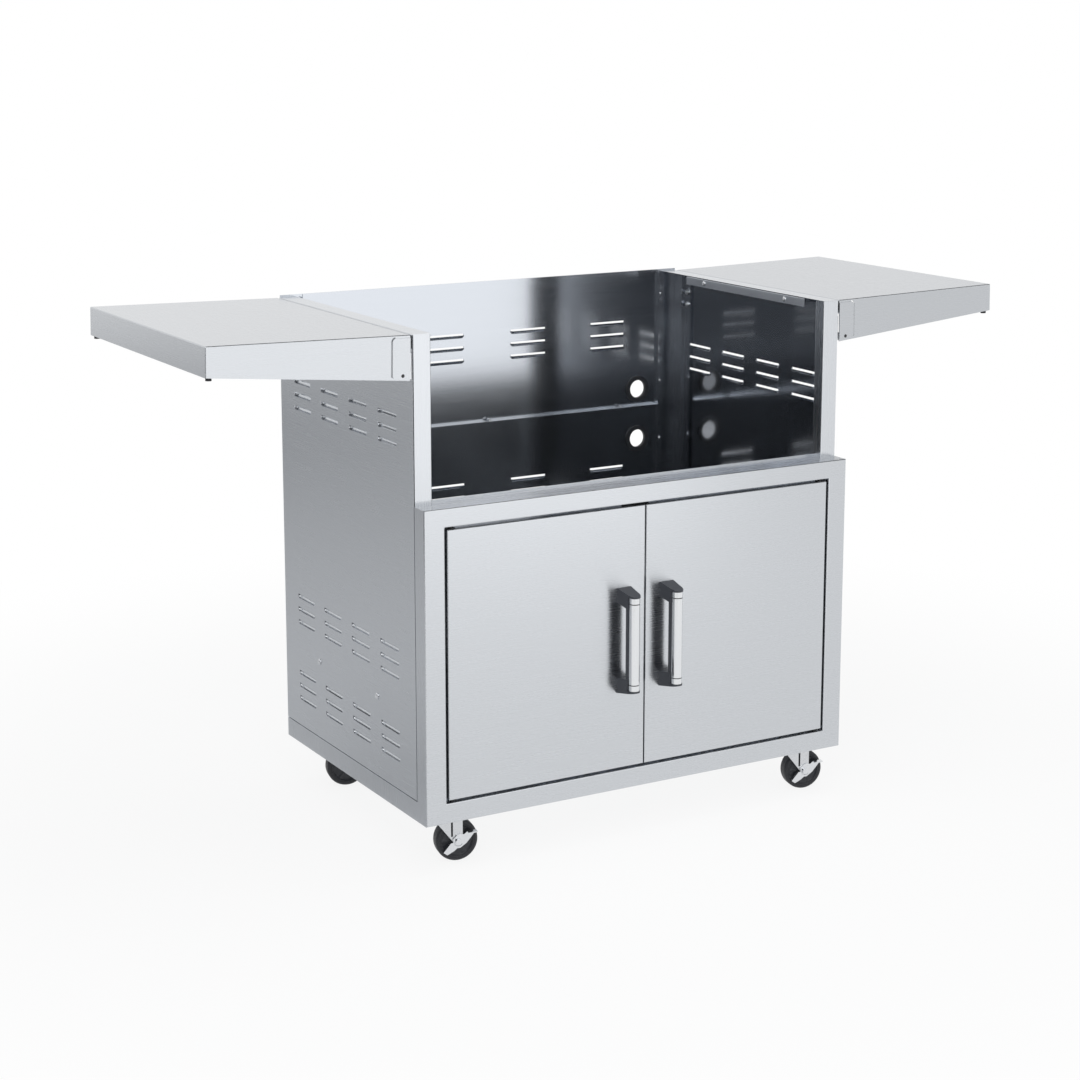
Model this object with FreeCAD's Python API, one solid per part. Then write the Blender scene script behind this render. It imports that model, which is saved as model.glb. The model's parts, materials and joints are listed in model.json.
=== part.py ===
import FreeCAD, Part
import math
import os

V = FreeCAD.Vector

# Driving dimensions, in millimetres.

# Cart body
cart_width = 864.0
cart_depth = 574.0
base_clearance = 91.0
side_height = 834.0
back_rise = 4.0
sheet = 1.2
angle_gauge = 1.5
seam_gap = 0.6
panel_seam = 1.4
corner_seam = 2.0
bend_radius = 2.0
corner_relief = 0.9

# Base pan
band_height = 35.0
pan_floor_height = 9.0

# Front frame
frame_height = 546.0
frame_depth = 34.0
frame_return = 26.0
stile_width = 38.5
top_rail_height = 32.5
bottom_rail_height = 35.5

# Uprights
post_width = 33.0
post_depth = 25.0
rear_back_leg = 43.0
rear_side_leg = 38.0
rear_bolt_inset = 35.0
rear_lip = 8.0
flange_width = 33.0
bolt_radius = 2.5
bolt_head_radius = 4.6
bolt_head_height = 2.6
bolt_fit = 0.1
rear_bolt_heights = (120.0, 300.0, 494.0, 612.0, 789.0)

# Grill support rails, under the side flanges
support_lip = 16.0
support_ledge = 23.0
support_front_gap = 59.0
support_rear_gap = 92.0
support_screw_inset = 62.0

# Cross rail behind the frame's top
cross_rail_drop = 26.0
cross_rail_upstand = 3.0

# Back panels
back_seam_height = 565.0
seam_flange = 15.0
seam_bolt_pitch = 300.0
back_hem = 12.0
hose_hole_radius = 18.0
grommet_lip = 5.0
grommet_wall = 3.0
grommet_depth = 3.0
hose_hole_x = 343.0
hose_hole_heights = (498.0, 599.0)

# Louvres: pressed inwards, open along their top edge
louvre_radius = 5.0
louvre_slit = 3.0
side_louvre_length = 72.0
side_louvre_pitch = 115.0
side_louvre_rear_centre = 478.5
side_louvre_columns = 4
louvre_rows = 3
louvre_row_pitch = 24.5
side_bank_tops = (143.0, 289.5, 693.0)
back_louvre_length = 77.0
back_louvre_pitch = 181.0
back_louvre_columns = 4
upper_back_bank_top = 740.0
lower_back_bank_tops = (193.0, 446.5)

# Rail inside the left panel
tank_rail_height = 181.0
tank_rail_leg = 32.0
tank_rail_ledge = 26.0
tank_rail_front = 150.0
tank_rail_length = 311.0
tank_screw_front = 185.0
tank_screw_spacing = 240.0

# Doors
door_gap = 4.5
door_meeting_gap = 2.0
door_thickness = 22.0
pivot_inset = 10.0
pivot_setback = 9.0
pivot_radius = 4.0
pivot_length = 26.0
pivot_collar_radius = 7.0
pivot_collar_height = 2.0
bush_wall = 2.0
bush_length = 10.0
bush_flange = 2.5
bush_flange_height = 1.4
running_fit = 0.06
seat_fit = 0.1

# Handles
handle_centre_height = 273.0
handle_offset = 44.0
handle_foot_height = 189.0
handle_bar_span = 172.0
handle_projection = 45.0
handle_bar_radius = 9.6
handle_tube_wall = 1.5
handle_end_plate = 2.6
handle_ring_place = 11.0
handle_ring_width = 1.2
handle_ring_depth = 0.6
handle_foot_width = 28.0
handle_arm_height = 26.0
handle_arm_width = 21.0
handle_spine_start = 4.0
handle_spine_end = 11.0

# Magnet catch and strikes
catch_width = 56.0
catch_height = 16.0
catch_plate = 1.5
catch_overlap = 18.0
strike_width = 20.0
strike_height = 18.0
strike_gauge = 1.5
strike_gap = 0.5

# Side shelves
shelf_length = 356.0
shelf_gap = 4.5
shelf_inner_skirt = 76.0
shelf_outer_skirt = 50.0
shelf_inner_flange = 25.0
shelf_hem = 12.0
shelf_hem_start = 46.0
shelf_tilt = 1.2
shelf_pin_out = 18.0
shelf_pin_up = 9.0
shelf_pin_radius = 3.0
shelf_pin_head = 1.0
shelf_pin_head_radius = 4.5
hinge_cover_width = 32.0
hinge_cover_margin = 5.0
hinge_cover_gauge = 1.5
hinge_cover_round = 5.0
hinge_cover_slot = 2.2
bracket_gauge = 2.5
bracket_ear_radius = 7.0
bracket_height = 44.0
bracket_width = 60.0
bracket_bolt_offset = 47.0
bracket_side_gap = 0.4
bracket_bolt_spacing = 24.0
brace_width = 60.0
brace_depth = 14.0
brace_flange = 12.0
bumper_radius = 5.0
bumper_height = 5.0
bumper_inset = 9.0

# Casters
caster_inset_x = 64.0
caster_inset_y = 65.0
caster_angle = -12.0
caster_trail = 22.0
plate_size = 58.0
plate_gauge = 2.5
plate_bolt_spacing = 44.0
plate_bolt_radius = 3.0
race_radius = 22.0
race_height = 5.0
race_gap = 0.5
crown_height = 7.0
kingpin_radius = 5.0
kingpin_head_radius = 8.0
kingpin_head_height = 3.0
wheel_radius = 37.5
wheel_width = 25.0
wheel_edge = 4.0
wheel_hub_radius = 12.0
wheel_hub_stand = 1.0
wheel_dish_radius = 28.0
wheel_dish_depth = 3.0
axle_radius = 4.0
axle_head_radius = 5.5
axle_head_height = 3.5
fork_gauge = 2.5
fork_side_gap = 0.6
fork_front = 26.0
fork_rear = 8.5
fork_eye_radius = 9.0
fork_rib = 1.0
fork_slot = 3.0
lever_gauge = 2.0
lever_gap = 0.4
lever_eye_radius = 10.0
lever_pedal_depth = 8.0
lever_fold_depth = 3.5
lever_slot_radius = 6.2
lever_slot_width = 2.2
lever_slot_sweep = 150.0
lever_slot_turn = 120.0

# Places worked out from the driving dimensions
half_width = cart_width / 2
bump_out = max(bolt_head_height, grommet_depth, hinge_cover_gauge)
overall_depth = handle_projection + cart_depth + bump_out
front_y = -overall_depth / 2 + handle_projection
back_y = front_y + cart_depth
base_z = base_clearance
top_z = base_z + side_height
panel_z = base_z + band_height + panel_seam
pan_floor_z = base_z + pan_floor_height
post_y = front_y + frame_depth
panel_front_y = post_y + corner_seam
inner_x = half_width - sheet
post_inner_x = half_width - post_width
flange_z = top_z - sheet
back_inner_y = back_y - sheet
rear_post_inner_x = inner_x - rear_back_leg
back_seam_z = base_z + back_seam_height
opening_left = -half_width + stile_width
opening_bottom = base_z + bottom_rail_height
opening_top = base_z + frame_height - top_rail_height
door_bottom = opening_bottom + door_gap
door_top = opening_top - door_gap
door_outer_x = opening_left + door_gap
door_inner_x = -door_meeting_gap / 2
pivot_x = door_outer_x + pivot_inset
pivot_y = front_y + pivot_setback
handle_axis_y = front_y - handle_projection + handle_arm_width / 2
handle_z = base_z + handle_centre_height
shelf_inner_x = -half_width - shelf_gap
shelf_outer_x = shelf_inner_x - shelf_length
shelf_front_y = post_y + hinge_cover_gauge + seam_gap
shelf_back_y = back_y
shelf_pin_x = -half_width - shelf_pin_out
shelf_pin_z = top_z - shelf_inner_skirt + shelf_pin_up
caster_plate_z = pan_floor_z
race_z = caster_plate_z - plate_gauge - race_height
crown_z = race_z - race_gap
fork_inner = wheel_width / 2 + wheel_hub_stand + fork_side_gap
fork_outer = fork_inner + fork_gauge
lever_inner = fork_outer + fork_rib + lever_gap
lever_outer = lever_inner + lever_gauge

# The brake lever's stamped outline round its axle, in eye radii: along the trail, and up
LEVER_OUTLINE = (
    (-2.65, -1.75), (-1.98, -2.24), (-0.78, -1.62), (-0.18, -1.14), (0.32, -1.14), (1.42, -0.38),
    (2.32, 0.67), (3.22, 1.86), (1.62, 1.71), (1.02, 1.24), (0.32, 1.43), (-0.28, 1.14),
    (-0.88, 0.57), (-0.93, -0.14), (-1.28, -0.14),
)

CASTERS = {
    "front_left": (-1, -1),
    "front_right": (1, -1),
    "rear_left": (-1, 1),
    "rear_right": (1, 1),
}


def box(x0, x1, y0, y1, z0, z1):
    """A block between two corners, given as ranges."""
    low = V(min(x0, x1), min(y0, y1), min(z0, z1))
    return Part.makeBox(abs(x1 - x0), abs(y1 - y0), abs(z1 - z0), low)


def rod(radius, length, start, direction):
    return Part.makeCylinder(radius, length, start, direction)


def prism(points, direction):
    """A straight solid on a closed outline of points."""
    return Part.Face(Part.makePolygon(points + [points[0]])).extrude(direction)


def join(*shapes):
    """One solid from shapes that touch or overlap."""
    return shapes[0].fuse(list(shapes[1:])).removeSplitter()


def group(shapes):
    return Part.makeCompound(shapes)


def bent(shape, wanted):
    """The shape with a bend radius on each edge whose middle point the test picks."""
    return shape.makeFillet(bend_radius, [e for e in shape.Edges if wanted(e.CenterOfMass)])


def near(a, b):
    return abs(a - b) < 1e-6


def mirrored(shape):
    """The same piece on the other side of the cart's middle plane."""
    return shape.mirror(V(0, 0, 0), V(1, 0, 0))


def bolt(at, direction, grip, nut=True):
    """A round-head bolt: head outside at a point, shank through the grip, and a nut on its far side."""
    out = V(direction).negative()
    head = rod(bolt_head_radius, bolt_head_height, at, out)
    shank = rod(bolt_radius, grip + 2 * bolt_head_height, at, direction)
    parts = [head, shank]
    if nut:
        parts.append(rod(bolt_head_radius, bolt_head_height, at + V(direction) * grip, direction))
    return join(*parts)


def bolt_hole(at, direction, grip):
    """Clearance hole for a bolt, running past both faces of its grip."""
    return rod(bolt_radius + bolt_fit, grip + 4, at - V(direction) * 2, direction)


def quarter_capsule(radius, length):
    """A quarter round bar along Y with quarter round ends: it swells towards +X and hangs below z = 0."""
    straight = length - 2 * louvre_radius
    corner = V(0, -straight / 2, 0)
    arc = Part.Arc(
        corner + V(radius, 0, 0),
        corner + V(radius, 0, -radius) * math.sqrt(0.5),
        corner + V(0, 0, -radius),
    ).toShape()
    top = Part.makeLine(corner, corner + V(radius, 0, 0))
    back = Part.makeLine(corner + V(0, 0, -radius), corner)
    face = Part.Face(Part.Wire([top, arc, back]))
    bar = face.extrude(V(0, straight, 0))
    near_end = face.revolve(corner, V(0, 0, 1), -90)
    far_face = face.translated(V(0, straight, 0))
    far_end = far_face.revolve(V(0, straight / 2, 0), V(0, 0, 1), 90)
    return join(bar, near_end, far_end)


def pressed(panel, places, length, turn):
    """The panel with a louvre at each place on its outer face, where its slit's top is. Turn sets inwards."""
    drop = V(0, 0, -louvre_slit)
    hood = quarter_capsule(louvre_radius + sheet, length).translated(drop)
    dish = quarter_capsule(louvre_radius, length).translated(drop)
    slot = join(dish, box(0, sheet, -length / 2, length / 2, -louvre_slit, 0))
    hoods, slots = [], []
    for place in places:
        for tool, tools in ((hood, hoods), (slot, slots)):
            copy = tool.copy()
            copy.rotate(V(0, 0, 0), V(0, 0, 1), turn)
            copy.translate(place)
            tools.append(copy)
    return panel.fuse(hoods).cut(slots)


def export(name, shape):
    shape.exportStep(os.path.join("parts", name + ".step"))


# Cabinet shell

def opening_bends():
    """What the bends round the door opening take off the frame's face: a ring with rounded inner sides."""
    r = bend_radius
    ring = box(opening_left - r, -opening_left + r, front_y, front_y + r, opening_bottom - r, opening_top + r)
    width, height = -2 * opening_left + 2 * r, opening_top - opening_bottom + 2 * r
    rounds = []
    for x in (opening_left - r, -opening_left + r):
        rounds.append(rod(r, height, V(x, front_y + r, opening_bottom - r), V(0, 0, 1)))
    for z in (opening_bottom - r, opening_top + r):
        rounds.append(rod(r, width, V(opening_left - r, front_y + r, z), V(1, 0, 0)))
    return ring.cut(rounds)


def make_front_frame():
    """A formed bezel, open at the back, with a return round the door opening and holes for the door pins."""
    outer = box(-half_width, half_width, front_y, post_y, base_z, base_z + frame_height)
    outer = bent(outer, lambda p: near(p.y, front_y))
    hollow = box(
        -half_width + sheet, half_width - sheet, front_y + sheet, post_y,
        base_z + sheet, base_z + frame_height - sheet,
    )
    lining = box(
        opening_left - sheet, -opening_left + sheet, front_y, front_y + frame_return,
        opening_bottom - sheet, opening_top + sheet,
    )
    opening = box(opening_left, -opening_left, front_y, post_y, opening_bottom, opening_top)
    frame = outer.cut(hollow.cut(lining)).cut([opening, opening_bends()])
    for side in (-1, 1):
        for z in (opening_bottom, opening_top):
            frame = frame.cut(rod(corner_relief, sheet, V(side * opening_left, front_y, z), V(0, 1, 0)))
        for z in (opening_bottom - sheet, opening_top):
            frame = frame.cut(rod(pivot_radius + seat_fit, sheet, V(-side * pivot_x, pivot_y, z), V(0, 0, 1)))
    return frame


def caster_centre(side, end):
    y = front_y + caster_inset_y if end < 0 else back_y - caster_inset_y
    return V(side * (half_width - caster_inset_x), y, 0)


def plate_bolt_places():
    half = plate_bolt_spacing / 2
    for side, end in CASTERS.values():
        centre = caster_centre(side, end)
        for dx in (-half, half):
            for dy in (-half, half):
                yield centre + V(dx, dy, 0)


def make_base_pan():
    """The band round the foot of the cabinet and the floor welded in it, drilled for the casters."""
    top = base_z + band_height
    band = box(-half_width, half_width, post_y, back_y, base_z, top)
    band = band.cut(box(-inner_x, inner_x, post_y + sheet, back_inner_y, base_z, top))
    floor = box(-inner_x, inner_x, post_y + sheet, back_inner_y, pan_floor_z, pan_floor_z + sheet)
    pan = join(band, floor)
    holes = [
        rod(plate_bolt_radius + bolt_fit, sheet, V(p.x, p.y, pan_floor_z), V(0, 0, 1))
        for p in plate_bolt_places()
    ]
    return pan.cut(holes)


def tank_screw_places():
    for i in range(2):
        y = front_y + tank_screw_front + i * tank_screw_spacing
        yield V(-half_width, y, base_z + tank_rail_height)


def bracket_bolt_places():
    """On the left panel's outer face: two bolts for each hinge bracket."""
    for y, inwards in ((bracket_ear_y(-1), 1), (bracket_ear_y(1), -1)):
        for dz in (-1, 1):
            z = shelf_pin_z + bracket_height / 2 - bracket_ear_radius + dz * bracket_bolt_spacing / 2
            yield V(-half_width, y + inwards * bracket_bolt_offset, z)


def make_left_panel():
    """The side sheet with its top flange and three banks of louvres."""
    wall = box(-half_width, -inner_x, panel_front_y, back_y, panel_z, top_z)
    flange = box(-half_width, -half_width + flange_width, post_y, back_inner_y, flange_z, top_z)
    panel = bent(join(wall, flange), lambda p: near(p.x, -half_width) and near(p.z, top_z))
    places = []
    for bank_top in side_bank_tops:
        for row in range(louvre_rows):
            for column in range(side_louvre_columns):
                y = side_louvre_rear_centre - column * side_louvre_pitch
                z = bank_top - row * louvre_row_pitch
                places.append(V(-half_width, front_y + y, base_z + z))
    panel = pressed(panel, places, side_louvre_length, 0)
    holes = [bolt_hole(p, V(1, 0, 0), sheet) for p in bracket_bolt_places()]
    return panel.cut(holes)


def tank_screw_holes():
    return [bolt_hole(p, V(1, 0, 0), sheet) for p in tank_screw_places()]


def back_louvres(bank_top):
    first = -(back_louvre_columns - 1) * back_louvre_pitch / 2
    for row in range(louvre_rows):
        for column in range(back_louvre_columns):
            x = first + column * back_louvre_pitch
            yield V(x, back_y, base_z + bank_top - row * louvre_row_pitch)


def back_wall(z0, z1):
    return box(-inner_x, inner_x, back_inner_y, back_y, z0, z1)


def seam_flange_at(z0, z1):
    """The flange bent inwards along the seam, clear of the corner posts."""
    return box(
        -rear_post_inner_x + angle_gauge, rear_post_inner_x - angle_gauge, back_inner_y - seam_flange,
        back_inner_y, z0, z1,
    )


def seam_bolt_places():
    for i in (-1, 0, 1):
        yield V(i * seam_bolt_pitch, back_inner_y - seam_flange / 2, back_seam_z + sheet)


def seam_bolt_holes():
    return [bolt_hole(p, V(0, 0, -1), 2 * sheet) for p in seam_bolt_places()]


def rear_bolt_places():
    """On the back's outer face, through the rear leg of each corner post."""
    for side in (-1, 1):
        for height in rear_bolt_heights:
            yield V(side * (inner_x - rear_bolt_inset), back_y, base_z + height)


def rear_bolt_holes():
    return [bolt_hole(p, V(0, -1, 0), sheet + angle_gauge) for p in rear_bolt_places()]


def hose_hole(height):
    centre = V(hose_hole_x, back_y + 1, base_z + height)
    return rod(hose_hole_radius + grommet_wall + seat_fit, sheet + 2, centre, V(0, -1, 0))


def make_upper_back():
    top = top_z + back_rise
    hem = box(
        -rear_post_inner_x + angle_gauge, rear_post_inner_x - angle_gauge, back_inner_y - sheet,
        back_inner_y, top - back_hem, top,
    )
    panel = join(back_wall(back_seam_z, top), hem, seam_flange_at(back_seam_z, back_seam_z + sheet))
    panel = pressed(panel, list(back_louvres(upper_back_bank_top)), back_louvre_length, -90)
    return panel.cut(seam_bolt_holes() + rear_bolt_holes() + [hose_hole(hose_hole_heights[1])])


def make_lower_back():
    panel = join(back_wall(panel_z, back_seam_z), seam_flange_at(back_seam_z - sheet, back_seam_z))
    places = [place for top in lower_back_bank_tops for place in back_louvres(top)]
    panel = pressed(panel, places, back_louvre_length, -90)
    return panel.cut(seam_bolt_holes() + rear_bolt_holes() + [hose_hole(hose_hole_heights[0])])


def make_grommet(height):
    """A moulded ring snapped into a hose hole, with a lip on each face of the sheet."""
    centre = V(hose_hole_x, back_y + grommet_depth, base_z + height)
    length = sheet + 2 * grommet_depth
    ring = rod(hose_hole_radius + grommet_wall, length, centre, V(0, -1, 0))
    lip_radius = hose_hole_radius + grommet_wall + grommet_lip
    outer_lip = rod(lip_radius, grommet_depth, centre, V(0, -1, 0))
    inner_lip = rod(lip_radius, grommet_depth, centre - V(0, grommet_depth + sheet, 0), V(0, -1, 0))
    return join(ring, outer_lip, inner_lip).cut(rod(hose_hole_radius, length, centre, V(0, -1, 0)))


def make_left_front_post():
    """A channel whose open side is closed by the side panel, with a groove between its face and that sheet."""
    face = box(-inner_x, -post_inner_x, post_y, post_y + sheet, panel_z, flange_z)
    inner = box(-post_inner_x - sheet, -post_inner_x, post_y, post_y + post_depth, panel_z, flange_z)
    rear = box(
        -inner_x, -post_inner_x, post_y + post_depth - sheet, post_y + post_depth, panel_z, flange_z,
    )
    post = join(face, inner, rear)
    return bent(post, lambda p: near(p.x, -post_inner_x) and (near(p.y, post_y) or near(p.y, post_y + post_depth)))


def make_left_rear_post():
    """A lipped angle in the back corner, drilled for the bolts of the back panels."""
    g = angle_gauge
    z0, z1 = panel_z, flange_z
    back_leg = box(-inner_x, -rear_post_inner_x, back_inner_y - g, back_inner_y, z0, z1)
    side_end = back_inner_y - rear_side_leg
    side_leg = box(-inner_x, -inner_x + g, side_end, back_inner_y, z0, z1)
    back_lip = box(
        -rear_post_inner_x - g, -rear_post_inner_x, back_inner_y - rear_lip, back_inner_y, z0, z1,
    )
    side_lip = box(-inner_x, -inner_x + rear_lip, side_end, side_end + g, z0, z1)
    return join(back_leg, side_leg, back_lip, side_lip).cut(rear_bolt_holes())


def support_ends():
    return post_y + support_front_gap, back_y - support_rear_gap


def support_screw_places():
    """On the left rail's inner face."""
    y0, y1 = support_ends()
    z = flange_z - support_lip / 2
    for y in (y0 + support_screw_inset, y1 - support_screw_inset):
        yield V(-post_inner_x, y, z)


def make_left_support_rail():
    """The angle under the side flange that the grill head hangs on."""
    y0, y1 = support_ends()
    g = angle_gauge
    lip = box(-post_inner_x - g, -post_inner_x, y0, y1, flange_z - support_lip, flange_z)
    ledge = box(-post_inner_x - support_ledge, -post_inner_x, y0, y1, flange_z - g, flange_z)
    holes = [bolt_hole(p, V(-1, 0, 0), g) for p in support_screw_places()]
    rail = bent(join(lip, ledge), lambda p: near(p.x, -post_inner_x) and near(p.z, flange_z))
    return rail.cut(holes)


def make_cross_rail():
    """The ledge between the posts, level with the frame's top, with a small upstand along its back."""
    top = base_z + frame_height
    rear_y = post_y + post_depth
    ledge = box(-post_inner_x, post_inner_x, post_y, rear_y, top - sheet, top)
    apron = box(-post_inner_x, post_inner_x, post_y, post_y + sheet, top - cross_rail_drop, top)
    upstand = box(-post_inner_x, post_inner_x, rear_y - sheet, rear_y, top - sheet, top + cross_rail_upstand)
    return bent(join(ledge, apron, upstand), lambda p: near(p.y, post_y) and near(p.z, top))


def make_tank_rail():
    """The angle inside the left panel that its two outside screws hold."""
    y0 = front_y + tank_rail_front
    y1 = y0 + tank_rail_length
    z0 = base_z + tank_rail_height - tank_rail_leg / 2
    leg = box(-inner_x, -inner_x + angle_gauge, y0, y1, z0, z0 + tank_rail_leg)
    ledge = box(-inner_x, -inner_x + tank_rail_ledge, y0, y1, z0, z0 + angle_gauge)
    holes = [bolt_hole(p, V(1, 0, 0), sheet + angle_gauge) for p in tank_screw_places()]
    return join(leg, ledge).cut(holes)


def make_magnet_catch():
    """A magnet block on a plate that hangs from the cross rail's apron, behind the meeting of the doors."""
    plate_y = post_y + sheet
    top = base_z + frame_height - sheet
    block_top = door_top - catch_plate
    block_bottom = block_top - catch_height
    half = catch_width / 2
    block_front = front_y + door_thickness + strike_gauge + strike_gap
    plate = box(-half, half, plate_y, plate_y + catch_plate, block_bottom, top)
    block = box(-half, half, block_front, plate_y, block_bottom, block_top)
    return join(plate, block)


def make_cabinet():
    export("front_frame", make_front_frame())
    export("base_pan", make_base_pan())
    left_panel = make_left_panel()
    export("left_side_panel", left_panel.cut(tank_screw_holes()))
    export("right_side_panel", mirrored(left_panel))
    export("upper_back_panel", make_upper_back())
    export("lower_back_panel", make_lower_back())
    export("hose_grommets", group([make_grommet(h) for h in hose_hole_heights]))
    export("front_cross_rail", make_cross_rail())
    export("tank_rail", make_tank_rail())
    export("magnet_catch", make_magnet_catch())
    pairs = {
        "front_post": make_left_front_post(),
        "rear_post": make_left_rear_post(),
        "support_rail": make_left_support_rail(),
    }
    for name, shape in pairs.items():
        export("left_" + name, shape)
        export("right_" + name, mirrored(shape))
    corner_bolts = [bolt(p, V(0, -1, 0), sheet + angle_gauge) for p in rear_bolt_places()]
    seam_bolts = [bolt(p, V(0, 0, -1), 2 * sheet) for p in seam_bolt_places()]
    tank_bolts = [bolt(p, V(1, 0, 0), sheet + angle_gauge) for p in tank_screw_places()]
    support_bolts = [bolt(p, V(-1, 0, 0), angle_gauge) for p in support_screw_places()]
    support_bolts += [mirrored(s) for s in support_bolts]
    export("panel_bolts", group(corner_bolts + seam_bolts + tank_bolts + support_bolts))


# Doors

def pivot_ends():
    """Height of each door edge's gap in the frame, and the way from the frame into the door."""
    return ((opening_top, V(0, 0, -1)), (opening_bottom, V(0, 0, 1)))


def make_pivot_pins():
    """Collared pins set in the frame's returns, top and bottom of each door."""
    pins = []
    for side in (-1, 1):
        for z, inwards in pivot_ends():
            base = V(-side * pivot_x, pivot_y, z) - inwards * sheet
            collar_start = base - inwards * pivot_collar_height
            collar = rod(pivot_collar_radius, pivot_collar_height, collar_start, inwards)
            pins.append(join(collar, rod(pivot_radius, pivot_length - pivot_collar_height, base, inwards)))
    return group(pins)


def make_left_bushes():
    """Flanged bushes in the door's top and bottom edges."""
    bushes = []
    outer = pivot_radius + running_fit + bush_wall
    for z, inwards in ((door_top, V(0, 0, -1)), (door_bottom, V(0, 0, 1))):
        seat = V(pivot_x, pivot_y, z)
        sleeve = rod(outer, bush_length, seat, inwards)
        flange_start = seat - inwards * bush_flange_height
        flange = rod(outer + bush_flange, bush_flange_height, flange_start, inwards)
        bore = rod(pivot_radius + running_fit, bush_length + bush_flange_height, flange_start, inwards)
        bushes.append(join(flange, sleeve).cut(bore))
    return group(bushes)


def make_left_door_skin():
    """A folded pan, open at the back, with a hole for each bush."""
    back = front_y + door_thickness
    outer = box(door_outer_x, door_inner_x, front_y, back, door_bottom, door_top)
    outer = bent(outer, lambda p: near(p.y, front_y))
    hollow = box(
        door_outer_x + sheet, door_inner_x - sheet, front_y + sheet, back,
        door_bottom + sheet, door_top - sheet,
    )
    radius = pivot_radius + running_fit + bush_wall + seat_fit
    holes = [
        rod(radius, sheet, V(pivot_x, pivot_y, door_bottom), V(0, 0, 1)),
        rod(radius, sheet, V(pivot_x, pivot_y, door_top - sheet), V(0, 0, 1)),
    ]
    return outer.cut(hollow).cut(holes)


def make_left_door_liner():
    back = front_y + door_thickness
    return box(
        door_outer_x + sheet, door_inner_x - sheet, back - sheet, back,
        door_bottom + sheet, door_top - sheet,
    )


def make_left_strike():
    """The steel plate on the liner that the magnet holds."""
    y0 = front_y + door_thickness
    z1 = door_top - catch_plate
    x1 = door_inner_x - sheet
    return box(x1 - strike_width, x1, y0, y0 + strike_gauge, z1 - strike_height, z1)


def bar_end():
    """Half the length of the bar between the end plates of its mounts."""
    return handle_bar_span / 2 - handle_end_plate


def make_left_handle_bar():
    """A tube with a fine groove turned near each end."""
    r, length = handle_bar_radius, 2 * bar_end()
    up = V(0, 0, 1)
    start = V(-handle_offset, handle_axis_y, handle_z - length / 2)
    tube = rod(r, length, start, up).cut(rod(r - handle_tube_wall, length, start, up))
    for z in (handle_ring_place, length - handle_ring_place):
        at = start + V(0, 0, z - handle_ring_width / 2)
        ring = rod(r, handle_ring_width, at, up).cut(rod(r - handle_ring_depth, handle_ring_width, at, up))
        tube = tube.cut(ring)
    return tube


def make_left_handle_arm(end):
    """An arm that slopes from its foot to the back of the bar, with a round plate over the bar's end."""
    foot_z = handle_z + end * handle_foot_height / 2
    tip_z = handle_z + end * handle_bar_span / 2
    tip_y = front_y - handle_projection
    half_tip = handle_arm_width / 2

    def outline(half, y, z):
        z_near = z - end * handle_arm_height
        corners = [(-half, z), (half, z), (half, z_near), (-half, z_near)]
        return Part.makePolygon([V(-handle_offset + dx, y, dz) for dx, dz in corners + corners[:1]])

    ends = [outline(handle_foot_width / 2, front_y, foot_z), outline(half_tip, tip_y, tip_z)]
    arm = Part.makeLoft(ends, True, True)
    reach = handle_foot_height
    left, right = -handle_offset - handle_foot_width, -handle_offset + handle_foot_width
    low, high = handle_z - reach, handle_z + reach
    behind = box(left, right, handle_axis_y + handle_spine_start, front_y, low, high)
    nose = rod(half_tip, reach, V(-handle_offset, handle_axis_y, handle_z + end * bar_end()), V(0, 0, end))
    z0, z1 = sorted((handle_z + end * bar_end(), handle_z + end * reach))
    over = box(left, right, handle_axis_y, front_y, z0, z1)
    return arm.common(join(behind, nose, over))


def make_left_handle_mount():
    """One casting: two arms, and between them a spine that cups the back of the bar."""
    half = handle_arm_width / 2
    spine = box(
        -handle_offset - half, -handle_offset + half, handle_axis_y + handle_spine_start,
        handle_axis_y + handle_spine_end, handle_z - bar_end(), handle_z + bar_end(),
    )
    start = V(-handle_offset, handle_axis_y, handle_z - bar_end())
    seat = rod(handle_bar_radius, 2 * bar_end(), start, V(0, 0, 1))
    return join(make_left_handle_arm(1), make_left_handle_arm(-1), spine).cut(seat)


def make_doors():
    export("door_pivot_pins", make_pivot_pins())
    pieces = {
        "door_skin": make_left_door_skin(),
        "door_liner": make_left_door_liner(),
        "door_bushes": make_left_bushes(),
        "strike_plate": make_left_strike(),
        "handle_bar": make_left_handle_bar(),
        "handle_mounts": make_left_handle_mount(),
    }
    for name, shape in pieces.items():
        export("left_" + name, shape)
        export("right_" + name, mirrored(shape))


# Side shelves, modelled level on the left and then tilted up a little about their hinge pins

def bracket_ear_y(end):
    """Outer face of a hinge bracket's ear, just inside the front (-1) or back (1) skirt."""
    inset = sheet + bracket_side_gap
    return shelf_front_y + inset if end < 0 else shelf_back_y - inset


def skirt_depth(x):
    """Depth of the side skirts at a place along the shelf: they taper from the inner end to the outer."""
    share = (shelf_inner_x - x) / shelf_length
    return shelf_inner_skirt + share * (shelf_outer_skirt - shelf_inner_skirt)


def shelf_block(x0, x1, y0, y1, top, rise):
    """A block under the shelf's top whose underside follows the tapered skirts, raised by an amount."""
    points = [
        V(x0, y0, top),
        V(x1, y0, top),
        V(x1, y0, top_z - skirt_depth(x1) + rise),
        V(x0, y0, top_z - skirt_depth(x0) + rise),
    ]
    return prism(points, V(0, y1 - y0, 0))


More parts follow.
